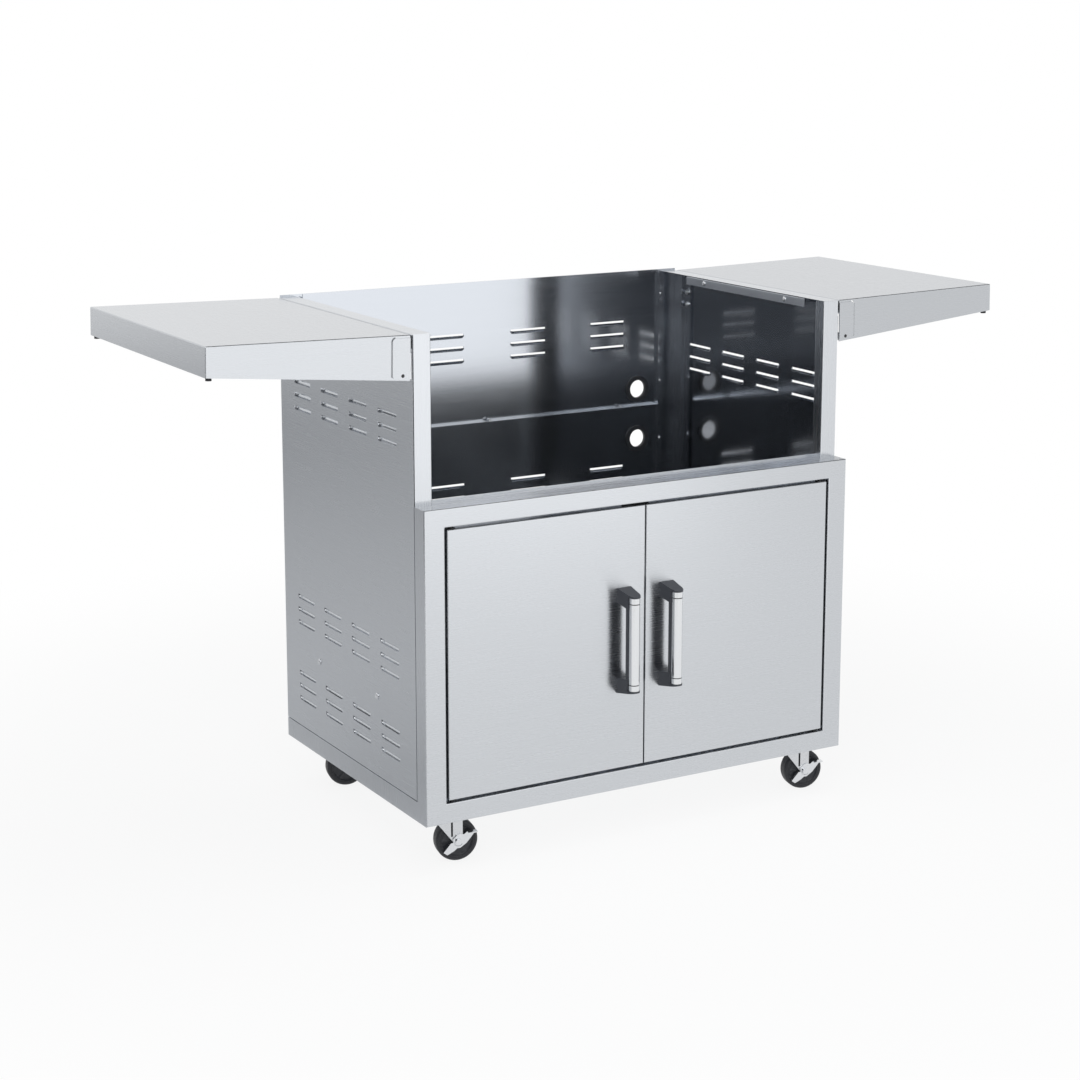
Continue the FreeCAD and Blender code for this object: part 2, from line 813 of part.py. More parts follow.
def make_left_shelf_pan():
    """The shelf's top with its tapered skirts, hems along their lower edges and a short inner flange."""
    x0, x1 = shelf_outer_x, shelf_inner_x
    y0, y1 = shelf_front_y, shelf_back_y
    pan = shelf_block(x0, x1, y0, y1, top_z, 0)
    pan = bent(pan, lambda p: near(p.z, top_z) or (near(p.x, x0) and (near(p.y, y0) or near(p.y, y1))))
    pan = pan.cut(shelf_block(x0 + sheet, x1 - sheet, y0 + sheet, y1 - sheet, top_z - sheet, sheet))
    hem_x = x1 - shelf_hem_start
    h = shelf_hem
    pan = pan.cut(shelf_block(x0 + h, hem_x, y0 + h, y1 - h, top_z - shelf_inner_skirt / 2, -h))
    pan = pan.cut(shelf_block(hem_x, x1, y0 + sheet, y1 - sheet, top_z - shelf_inner_flange, -h))
    for end in (-1, 1):
        y = y0 if end < 0 else y1 - sheet
        pan = pan.cut(rod(shelf_pin_radius + running_fit, sheet, V(shelf_pin_x, y, shelf_pin_z), V(0, 1, 0)))
        pan = pan.cut(hinge_cover_gap(y))
    return pan


def hinge_cover_outline(y, depth, grow):
    """The hinge cover's outline with rounded outer corners, grown on three sides, as deep as given along Y."""
    x0, x1 = shelf_inner_x - hinge_cover_width - grow, shelf_inner_x
    z0 = top_z - shelf_inner_skirt + hinge_cover_margin - grow
    z1 = top_z - hinge_cover_margin + grow
    plate = box(x0, x1, y, y + depth, z0, z1)
    corners = [
        e for e in plate.Edges
        if abs(e.Vertexes[0].X - x0) < 1e-6 and abs(e.Vertexes[1].X - x0) < 1e-6
        and abs(e.Vertexes[0].Y - e.Vertexes[1].Y) > 1e-6
    ]
    return plate.makeFillet(hinge_cover_round + grow, corners)


def hinge_cover_gap(y):
    """The slot in a skirt round the outer edge of its hinge cover."""
    ring = hinge_cover_outline(y, sheet, hinge_cover_slot).cut(hinge_cover_outline(y, sheet, 0))
    x0 = shelf_inner_x - hinge_cover_width
    z0 = top_z - shelf_inner_skirt + hinge_cover_margin
    reach = box(x0 - hinge_cover_slot, x0 + hinge_cover_round, y, y + sheet, z0 + hinge_cover_slot, top_z)
    return ring.common(reach)


def make_left_hinge_cover(end):
    """A plate with rounded outer corners on the skirt's outside, over the hinge pin."""
    y = shelf_front_y - hinge_cover_gauge if end < 0 else shelf_back_y
    plate = hinge_cover_outline(y, hinge_cover_gauge, 0)
    at = V(shelf_pin_x, y, shelf_pin_z)
    return plate.cut(rod(shelf_pin_radius + running_fit, hinge_cover_gauge, at, V(0, 1, 0)))


def make_left_shelf_brace():
    """A hat section across the middle of the shelf's underside."""
    mid = (shelf_outer_x + shelf_inner_x) / 2
    top = top_z - sheet
    y0, y1 = shelf_front_y + shelf_hem, shelf_back_y - shelf_hem
    half = brace_width / 2
    hat = box(mid - half, mid + half, y0, y1, top - brace_depth, top)
    hat = hat.cut(box(mid - half + sheet, mid + half - sheet, y0, y1, top - brace_depth + sheet, top))
    left = box(mid - half - brace_flange, mid - half, y0, y1, top - sheet, top)
    right = box(mid + half, mid + half + brace_flange, y0, y1, top - sheet, top)
    return join(hat, left, right)


def make_left_bumpers():
    """Rubber buttons under the outer corners, trimmed to the slope of the hem that they sit on."""
    inside = shelf_block(shelf_outer_x, shelf_inner_x, shelf_front_y, shelf_back_y, top_z, 0)
    x = shelf_outer_x + bumper_inset
    top = top_z - skirt_depth(x)
    bumpers = []
    for y in (shelf_front_y + bumper_inset, shelf_back_y - bumper_inset):
        at = V(x, y, top - bumper_height)
        button = rod(bumper_radius, bumper_height + bumper_inset, at, V(0, 0, 1))
        bumpers.append(button.cut(inside))
    return group(bumpers)


def make_left_bracket(end):
    """A hinge bracket: a leg bolted to the side panel and an ear that carries the pin inside the skirt."""
    outer = bracket_ear_y(end)
    inwards = -end
    ear_y = sorted((outer, outer + inwards * bracket_gauge))
    leg_y = sorted((outer, outer + inwards * bracket_width))
    z0 = shelf_pin_z - bracket_ear_radius
    leg = box(-half_width - bracket_gauge, -half_width, leg_y[0], leg_y[1], z0, z0 + bracket_height)
    strap = box(
        shelf_pin_x, -half_width, ear_y[0], ear_y[1],
        shelf_pin_z - bracket_ear_radius, shelf_pin_z + bracket_ear_radius,
    )
    eye = rod(bracket_ear_radius, bracket_gauge, V(shelf_pin_x, ear_y[0], shelf_pin_z), V(0, 1, 0))
    bracket = join(leg, strap, eye)
    bore = rod(shelf_pin_radius + seat_fit, bracket_gauge, V(shelf_pin_x, ear_y[0], shelf_pin_z), V(0, 1, 0))
    bracket = bracket.cut(bore)
    holes = [bolt_hole(p, V(1, 0, 0), sheet) for p in bracket_bolt_places()]
    holes = [h.translated(V(-bracket_gauge, 0, 0)) for h in holes]
    return bracket.cut(holes)


def make_left_shelf_pin(end):
    """The hinge pin: flush with the cover plate outside, and headed inside the bracket's ear."""
    face = shelf_front_y - hinge_cover_gauge if end < 0 else shelf_back_y + hinge_cover_gauge
    ear_inner = bracket_ear_y(end) - end * bracket_gauge
    direction = V(0, -end, 0)
    length = abs(ear_inner - face)
    shank = rod(shelf_pin_radius, length, V(shelf_pin_x, face, shelf_pin_z), direction)
    head = rod(shelf_pin_head_radius, shelf_pin_head, V(shelf_pin_x, ear_inner, shelf_pin_z), direction)
    return join(shank, head)


def tilted(shape):
    """Raised at the outer end about the left hinge pins."""
    return shape.rotated(V(shelf_pin_x, 0, shelf_pin_z), V(0, 1, 0), shelf_tilt)


def make_shelves():
    ends = (-1, 1)
    moving = {
        "shelf_pan": make_left_shelf_pan(),
        "shelf_hinge_covers": group([make_left_hinge_cover(end) for end in ends]),
        "shelf_brace": make_left_shelf_brace(),
        "shelf_bumpers": make_left_bumpers(),
    }
    for name, shape in moving.items():
        left = tilted(shape)
        export("left_" + name, left)
        export("right_" + name, mirrored(left))
    brackets = group([make_left_bracket(end) for end in ends])
    pins = group([make_left_shelf_pin(end) for end in ends])
    export("left_shelf_brackets", brackets)
    export("right_shelf_brackets", mirrored(brackets))
    export("left_shelf_pins", pins)
    export("right_shelf_pins", mirrored(pins))
    grip = bracket_gauge + sheet
    bolts = [bolt(p - V(bracket_gauge, 0, 0), V(1, 0, 0), grip) for p in bracket_bolt_places()]
    export("shelf_bracket_bolts", group(bolts + [mirrored(b) for b in bolts]))


# Casters, modelled about a swivel axis at the origin with the wheel trailing along +X

def make_caster_plate(centre):
    """The top plate with its race, and the riveted kingpin that the fork turns on."""
    half = plate_size / 2
    plate = box(-half, half, -half, half, caster_plate_z - plate_gauge, caster_plate_z)
    race = rod(race_radius, race_height, V(0, 0, race_z), V(0, 0, 1))
    pin_bottom = crown_z - crown_height - race_gap
    pin = rod(kingpin_radius, race_z - pin_bottom, V(0, 0, pin_bottom), V(0, 0, 1))
    head_z = pin_bottom - kingpin_head_height
    head = rod(kingpin_head_radius, kingpin_head_height, V(0, 0, head_z), V(0, 0, 1))
    holes = [
        rod(plate_bolt_radius + bolt_fit, plate_gauge, p - centre + V(0, 0, caster_plate_z - plate_gauge), V(0, 0, 1))
        for p in plate_bolt_places()
        if (p - centre).Length < plate_size
    ]
    return join(plate, race, pin, head).cut(holes).translated(centre)


def make_fork():
    """A crown that turns under the race, and two tapered legs, each with a rib and a slot beside it."""
    bottom = crown_z - crown_height
    top = bottom + fork_gauge
    rear = caster_trail + fork_rear
    near_edge = caster_trail - fork_eye_radius
    crown = rod(race_radius, crown_height, V(0, 0, bottom), V(0, 0, 1))
    bridge = box(-fork_front, rear, -fork_outer, fork_outer, bottom, top)
    parts = [crown, bridge]
    slots = []
    for y, out in ((-fork_outer, -1), (fork_inner, 1)):
        points = [V(-fork_front, y, top), V(rear, y, top), V(rear, y, wheel_radius), V(near_edge, y, wheel_radius)]
        parts.append(prism(points, V(0, fork_gauge, 0)))
        parts.append(rod(fork_eye_radius, fork_gauge, V(caster_trail, y, wheel_radius), V(0, 1, 0)))
        face = out * fork_outer
        parts.append(box(near_edge, rear, face, face + out * fork_rib, wheel_radius, top))
        parts.append(rod(fork_eye_radius, fork_rib, V(caster_trail, face, wheel_radius), V(0, out, 0)))
        slot_foot = wheel_radius + fork_eye_radius
        slots.append(box(near_edge - fork_slot, near_edge, y, y + fork_gauge, slot_foot, bottom))
    fork = join(*parts)
    bore = rod(kingpin_radius + running_fit, crown_height, V(0, 0, bottom), V(0, 0, 1))
    reach = fork_outer + fork_rib
    axle = rod(axle_radius + seat_fit, 2 * reach, V(caster_trail, -reach, wheel_radius), V(0, 1, 0))
    return fork.cut([bore, axle] + slots)


def make_axle(braked):
    """A bolt through the fork and wheel, headed at both ends, longer on the lever's side."""
    far_side = fork_outer + fork_rib
    near_side = lever_outer + lever_gap if braked else far_side
    centre = V(caster_trail, 0, wheel_radius)
    shank = rod(axle_radius, near_side + far_side, centre - V(0, near_side, 0), V(0, 1, 0))
    head = rod(axle_head_radius, axle_head_height, centre - V(0, near_side + axle_head_height, 0), V(0, 1, 0))
    nut = rod(axle_head_radius, axle_head_height, centre + V(0, far_side, 0), V(0, 1, 0))
    return join(shank, head, nut)


def make_wheel():
    """A moulded wheel with rounded tread edges, dished sides and a hub that stands out a little."""
    bore = axle_radius + running_fit
    half = wheel_width / 2
    hub = half + wheel_hub_stand
    dish = half - wheel_dish_depth
    tread = wheel_radius - wheel_edge
    mid = wheel_edge * math.sqrt(0.5)

    def at(radius, side):
        return V(radius, side, 0)

    edges = []

    def run(points):
        edges.extend(Part.makeLine(a, b) for a, b in zip(points, points[1:]))

    run([at(bore, -hub), at(wheel_hub_radius, -hub), at(wheel_hub_radius, -dish),
         at(wheel_dish_radius, -dish), at(wheel_dish_radius, -half), at(tread, -half)])
    edges.append(Part.Arc(
        at(tread, -half), at(tread + mid, -half + wheel_edge - mid), at(wheel_radius, -half + wheel_edge),
    ).toShape())
    run([at(wheel_radius, -half + wheel_edge), at(wheel_radius, half - wheel_edge)])
    edges.append(Part.Arc(
        at(wheel_radius, half - wheel_edge), at(tread + mid, half - wheel_edge + mid), at(tread, half),
    ).toShape())
    run([at(tread, half), at(wheel_dish_radius, half), at(wheel_dish_radius, dish),
         at(wheel_hub_radius, dish), at(wheel_hub_radius, hub), at(bore, hub), at(bore, -hub)])
    wheel = Part.Face(Part.Wire(edges)).revolve(V(0, 0, 0), V(0, 1, 0), 360)
    return wheel.translated(V(caster_trail, 0, wheel_radius))


def lever_point(index, y):
    x, z = LEVER_OUTLINE[index % len(LEVER_OUTLINE)]
    return V(x * lever_eye_radius, y, z * lever_eye_radius)


def edge_fold(first, second, y, depth):
    """A strip folded from the lever's edge between two points of its outline, as deep as given along Y."""
    a, b = lever_point(first, y), lever_point(second, y)
    along = b - a
    inwards = V(-along.z, 0, along.x).normalize() * lever_gauge
    return prism([a, b, b + inwards, a + inwards], V(0, depth, 0))


def make_lever():
    """A stamped brake lever on the axle: a pedal folded out at its top, and a lip folded in along its foot."""
    y0 = -lever_outer
    plate = prism([lever_point(i, y0) for i in range(len(LEVER_OUTLINE))], V(0, lever_gauge, 0))
    pedal = edge_fold(7, 8, y0 - lever_pedal_depth, lever_pedal_depth + lever_gauge)
    lip = edge_fold(14, 15, y0, lever_gauge + lever_fold_depth)
    lever = join(plate, pedal, lip)
    outer = lever_slot_radius + lever_slot_width
    slot = Part.makeCylinder(outer, lever_gauge, V(0, y0, 0), V(0, 1, 0), lever_slot_sweep)
    slot = slot.cut(rod(lever_slot_radius, lever_gauge, V(0, y0, 0), V(0, 1, 0)))
    slot = slot.rotated(V(0, 0, 0), V(0, 1, 0), lever_slot_turn)
    bore = rod(axle_radius + running_fit, lever_gauge, V(0, y0, 0), V(0, 1, 0))
    return lever.cut([slot, bore]).translated(V(caster_trail, 0, wheel_radius))


def placed(shape, centre):
    """Turned to the way the casters stand, and moved to its swivel axis."""
    return shape.rotated(V(0, 0, 0), V(0, 0, 1), caster_angle).translated(centre)


def make_casters():
    plates = []
    fork, wheel, lever = make_fork(), make_wheel(), make_lever()
    for name, (side, end) in CASTERS.items():
        centre = caster_centre(side, end)
        braked = end < 0
        plates.append(make_caster_plate(centre))
        export(name + "_fork", placed(fork, centre))
        export(name + "_axle", placed(make_axle(braked), centre))
        export(name + "_wheel", placed(wheel, centre))
        if braked:
            export(name + "_brake_lever", placed(lever, centre))
    export("caster_plates", group(plates))
    bolts = []
    for p in plate_bolt_places():
        under = V(p.x, p.y, caster_plate_z - plate_gauge)
        grip = plate_gauge + sheet
        head = rod(bolt_head_radius, bolt_head_height, under, V(0, 0, -1))
        shank = rod(plate_bolt_radius, grip + 2 * bolt_head_height, under, V(0, 0, 1))
        nut = rod(bolt_head_radius, bolt_head_height, under + V(0, 0, grip), V(0, 0, 1))
        bolts.append(join(head, shank, nut))
    export("caster_bolts", group(bolts))


os.makedirs("parts", exist_ok=True)
make_cabinet()
make_doors()
make_shelves()
make_casters()
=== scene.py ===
import json
import math

import bmesh
import bpy
import numpy as np
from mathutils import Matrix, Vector


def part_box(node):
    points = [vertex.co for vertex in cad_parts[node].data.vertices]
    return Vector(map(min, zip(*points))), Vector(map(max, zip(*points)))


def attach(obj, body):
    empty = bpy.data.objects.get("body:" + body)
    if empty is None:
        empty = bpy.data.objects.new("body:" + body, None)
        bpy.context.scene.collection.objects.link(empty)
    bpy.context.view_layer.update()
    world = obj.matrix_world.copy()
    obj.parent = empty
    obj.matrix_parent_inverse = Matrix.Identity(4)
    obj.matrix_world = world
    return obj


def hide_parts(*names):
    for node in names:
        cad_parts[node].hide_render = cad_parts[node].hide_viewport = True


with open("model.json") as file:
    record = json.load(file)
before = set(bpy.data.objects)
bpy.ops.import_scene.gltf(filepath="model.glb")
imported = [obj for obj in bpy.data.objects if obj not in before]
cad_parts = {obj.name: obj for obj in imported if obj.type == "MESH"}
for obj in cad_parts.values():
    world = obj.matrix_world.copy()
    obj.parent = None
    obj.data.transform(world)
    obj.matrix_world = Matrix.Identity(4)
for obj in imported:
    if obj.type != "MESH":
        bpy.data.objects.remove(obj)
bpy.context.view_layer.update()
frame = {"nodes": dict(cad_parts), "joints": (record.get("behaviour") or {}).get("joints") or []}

bl_info = {
    "name": "Grill cart finishes",
    "version": (1, 0, 0),
    "blender": (4, 5, 0),
    "location": "View3D > Sidebar > Cart",
    "description": "Dresses the packed grill cart in its metals and rubbers, and sets up its studio",
    "category": "Object",
}

MM = 0.001
NODES = frame["nodes"]
FRAME_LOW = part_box("front_frame")[0]

# The part of its range that a noise texture mostly fills, stretched to each finish's own span
NOISE_SPAN = {"From Min": 0.3, "From Max": 0.7}

# The panel screws where the solids have them, in millimetres: a point under the head, the way that the head
# faces, and the thickness of sheet that the screw grips
REAR_SCREWS = [((side * 395.8, 308.0, z), (0, 1, 0), 2.7)
               for side in (-1, 1) for z in (211.0, 391.0, 585.0, 703.0, 880.0)]
SEAM_SCREWS = [((x, 299.3, 654.8), (0, 0, -1), 2.4) for x in (-300.0, 0.0, 300.0)]
RAIL_SCREWS = [((side * 399.0, y, 915.8), (-side, 0, 0), 1.5) for side in (-1, 1) for y in (-111.0, 154.0)]
TANK_SCREWS = [((-432.0, y, 272.0), (-1, 0, 0), 2.7) for y in (-81.0, 159.0)]


def linear(hex_colour):
    """Linear colour with alpha from an sRGB hex value such as #A0A4A8."""
    srgb = [int(hex_colour[i:i + 2], 16) / 255 for i in (1, 3, 5)]
    return tuple(c / 12.92 if c <= 0.04045 else ((c + 0.055) / 1.055) ** 2.4 for c in srgb) + (1.0,)


# Properties

class CartFinishes(bpy.types.PropertyGroup):
    """Colours and textures of the cart's finishes."""

    steel: bpy.props.FloatVectorProperty(
        name="Brushed steel", description="Tone that the brushed outside of the stainless sheet reflects",
        subtype="COLOR", size=4, min=0, max=1, default=linear("#C9CCD0"))
    mill: bpy.props.FloatVectorProperty(
        name="Mill steel", description="Tone that the smoother inside of the stainless sheet reflects",
        subtype="COLOR", size=4, min=0, max=1, default=linear("#BBBFC5"))
    bar: bpy.props.FloatVectorProperty(
        name="Bar steel", description="Tone of the turned handle bars",
        subtype="COLOR", size=4, min=0, max=1, default=linear("#E2E4E6"))
    zinc: bpy.props.FloatVectorProperty(
        name="Zinc plate", description="Tone of the plated forks, levers, brackets and fasteners",
        subtype="COLOR", size=4, min=0, max=1, default=linear("#DADCDF"))
    die_cast: bpy.props.FloatVectorProperty(
        name="Handle mounts", description="Paint on the die-cast handle mounts",
        subtype="COLOR", size=4, min=0, max=1, default=linear("#3A3D44"))
    rubber: bpy.props.FloatVectorProperty(
        name="Rubber", description="Tyres, hose grommets and shelf bumpers",
        subtype="COLOR", size=4, min=0, max=1, default=linear("#1F2126"))
    hub: bpy.props.FloatVectorProperty(
        name="Wheel centres", description="Moulded wheel centres",
        subtype="COLOR", size=4, min=0, max=1, default=linear("#22252B"))
    nylon: bpy.props.FloatVectorProperty(
        name="Nylon", description="Door bushes",
        subtype="COLOR", size=4, min=0, max=1, default=linear("#1C1D20"))
    # Painted shade: the shelves' down-facing mill side is toned far darker than the mill steel, for the shade
    # under the shelves
    underside: bpy.props.FloatVectorProperty(
        name="Shelf underside", description="Dull tone of the shaded underside of the shelves",
        subtype="COLOR", size=4, min=0, max=1, default=linear("#6F7378"))
    # Catch also colours the bars' grooves, where its near-black is painted shade
    catch: bpy.props.FloatVectorProperty(
        name="Catch", description="Case of the magnet catch, hinge pins and the filler in the bars' grooves",
        subtype="COLOR", size=4, min=0, max=1, default=linear("#1B1C1F"))
    grain_length: bpy.props.FloatProperty(
        name="Grain length", description="Length of one brush line on the sheet",
        subtype="DISTANCE", unit="LENGTH", default=140 * MM, min=10 * MM, max=1.0)
    grain_width: bpy.props.FloatProperty(
        name="Grain width", description="Drawn width of one brush line; the real one is about a tenth of it",
        subtype="DISTANCE", unit="LENGTH", default=1.2 * MM, min=0.1 * MM, max=10 * MM)


class CartFittings(bpy.types.PropertyGroup):
    """Sizes of the small pieces that stand for plain solids."""

    screw_radius: bpy.props.FloatProperty(
        name="Screw head", description="Radius of a panel screw's domed head",
        subtype="DISTANCE", unit="LENGTH", default=4.6 * MM, min=2 * MM, max=8 * MM)
    tank_screw_radius: bpy.props.FloatProperty(
        name="Tank rail screw head", description="Radius of the two larger heads on the left panel",
        subtype="DISTANCE", unit="LENGTH", default=5.8 * MM, min=2 * MM, max=8 * MM)
    screw_height: bpy.props.FloatProperty(
        name="Screw height", description="Height of a screw's head above its panel",
        subtype="DISTANCE", unit="LENGTH", default=2.6 * MM, min=1 * MM, max=2.6 * MM)
    recess_depth: bpy.props.FloatProperty(
        name="Recess", description="Depth of the cross in a screw's head",
        subtype="DISTANCE", unit="LENGTH", default=1.2 * MM, min=0, max=2 * MM)
    nut_width: bpy.props.FloatProperty(
        name="Nut", description="Width across the flats of a nut",
        subtype="DISTANCE", unit="LENGTH", default=9 * MM, min=6 * MM, max=12 * MM)
    groove_place: bpy.props.FloatProperty(
        name="Bar groove", description="Distance of a handle bar's groove from the bar's end",
        subtype="DISTANCE", unit="LENGTH", default=11 * MM, min=4 * MM, max=40 * MM)
    groove_width: bpy.props.FloatProperty(
        name="Groove width", description="Width of the groove in a handle bar",
        subtype="DISTANCE", unit="LENGTH", default=1.6 * MM, min=0.4 * MM, max=4 * MM)
    groove_depth: bpy.props.FloatProperty(
        name="Groove depth", description="Depth of the groove in a handle bar",
        subtype="DISTANCE", unit="LENGTH", default=1.5 * MM, min=0.2 * MM, max=4 * MM)
    rib_height: bpy.props.FloatProperty(
        name="Wheel ribs", description="Height of the six ribs in a wheel's dished sides",
        subtype="DISTANCE", unit="LENGTH", default=1.3 * MM, min=0, max=3 * MM)


class CartStage(bpy.types.PropertyGroup):
    """Camera and floor."""

    camera_place: bpy.props.FloatVectorProperty(
        name="Camera place", description="From the lower left front corner of the front frame",
        subtype="TRANSLATION", unit="LENGTH", size=3, default=(-1.6563, -3.2574, 1.3730))
    camera_yaw: bpy.props.FloatProperty(
        name="Yaw", description="Turn of the view from straight ahead towards the right",
        subtype="ANGLE", default=math.radians(29.9387))
    camera_pitch: bpy.props.FloatProperty(
        name="Pitch", description="Tilt of the view below level",
        subtype="ANGLE", default=math.radians(10.7779))
    lens: bpy.props.FloatProperty(
        name="Lens", description="Focal length in millimetres", unit="CAMERA", default=76.105, min=10)
    shift: bpy.props.FloatProperty(
        name="Shift", description="Lowers the view window, to keep the uprights nearly parallel",
        default=-0.1)
    floor: bpy.props.FloatVectorProperty(
        name="Floor", description="Paper sweep under the cart",
        subtype="COLOR", size=4, min=0, max=1, default=linear("#F2F3F4"))
    floor_radius: bpy.props.FloatProperty(
        name="Floor radius", description="Reach of the paper from the middle of the cart",
        subtype="DISTANCE", unit="LENGTH", default=2.6, min=1.0)


# Node and mesh helpers

def add(tree, kind, inputs=None, **settings):
    """Adds a node, sets its properties, then fills its inputs: a socket is linked, another value is set."""
    node = tree.nodes.new(kind)
    for name, value in settings.items():
        setattr(node, name, value)
    for key, value in (inputs or {}).items():
        if isinstance(value, bpy.types.NodeSocket):
            tree.links.new(value, node.inputs[key])
        else:
            node.inputs[key].default_value = value
    return node


def new_material(name):
    """An empty material and its node tree."""
    material = bpy.data.materials.new(name)
    material.use_nodes = True
    material.node_tree.nodes.clear()
    return material, material.node_tree


def close_material(tree, shader):
    add(tree, "ShaderNodeOutputMaterial", {"Surface": shader.outputs[0]})


def surface(name, grid, closed_u=False, closed_v=False):
    """An object from a grid of points, rows u by columns v, or from a stack of such grids.

    Each four neighbours make a face. A closed direction also joins its last row or column to its first.
    """
    index = np.arange(grid.size // 3).reshape((-1,) + grid.shape[-3:-1])
    if closed_u:
        index = np.concatenate([index, index[:, :1]], 1)
    if closed_v:
        index = np.concatenate([index, index[:, :, :1]], 2)
    corners = (index[:, :-1, :-1], index[:, 1:, :-1], index[:, 1:, 1:], index[:, :-1, 1:])
    mesh = bpy.data.meshes.new(name)
    mesh.from_pydata(grid.reshape(-1, 3).tolist(), [], np.stack(corners, -1).reshape(-1, 4).tolist())
    thing = bpy.data.objects.new(name, mesh)
    bpy.context.scene.collection.objects.link(thing)
    return thing


def close_shell(thing, crease=35.0, merge=0.001 * MM):
    """Merges seams and poles, turns the faces outwards and shades smooth up to a crease angle in degrees."""
    shell = bmesh.new()
    shell.from_mesh(thing.data)
    bmesh.ops.remove_doubles(shell, verts=shell.verts, dist=merge)
    bmesh.ops.recalc_face_normals(shell, faces=shell.faces)
    shell.to_mesh(thing.data)
    shell.free()
    thing.data.polygons.foreach_set("use_smooth", [True] * len(thing.data.polygons))
    thing.data.set_sharp_from_angle(angle=math.radians(crease))


def turned(radius, side, centre, axis):
    """A profile swung round an axis: centre + radius (cos a, sin a) + side along the axis.

    Radius and side are arrays of angle by profile.
    """
    along = np.array(axis) / np.linalg.norm(axis)
    upright = abs(along[2]) >= 0.9
    across = np.cross(along, (1, 0, 0) if upright else (0, 0, 1))
    across = across / np.linalg.norm(across)
    angle = np.linspace(0, 2 * np.pi, len(radius), endpoint=False)[:, None, None]
    spoke = np.cos(angle) * across + np.sin(angle) * np.cross(along, across)
    return np.array(centre) + radius[..., None] * spoke + side[..., None] * along


def both_sides(half):
    """A whole profile from rows of radius and side: the half on one side, then its mirror image backwards."""
    half = np.array(half)
    return np.concatenate([half, half[::-1] * (1, -1)])


def tinted(colour, factor):
    """The same colour made lighter or darker."""
    return tuple(min(1.0, factor * c) for c in colour[:3]) + (1.0,)


def dress(material, *names):
    """Puts a material on CAD nodes."""
    for name in names:
        materials = NODES[name].data.materials
        for i in range(len(materials)):
            materials[i] = material


def both(name):
    """The names of a left and a right node."""
    return ["left_" + name, "right_" + name]


# Materials

# Brushed sheet: the darkest and lightest streak as shares of the steel's tone, the streaks' roughness, how
# far reflections smear across them, and a lean of the grain that keeps its cross product defined
STREAK_TONES = (0.985, 1.015)
SATIN = (0.25, 0.28)
SMEAR = 0.7
LEAN = 0.01
# Cosines above which a face counts as looking along the grain, or to the inside
LOOKS_ALONG, LOOKS_IN = 0.7, 0.5


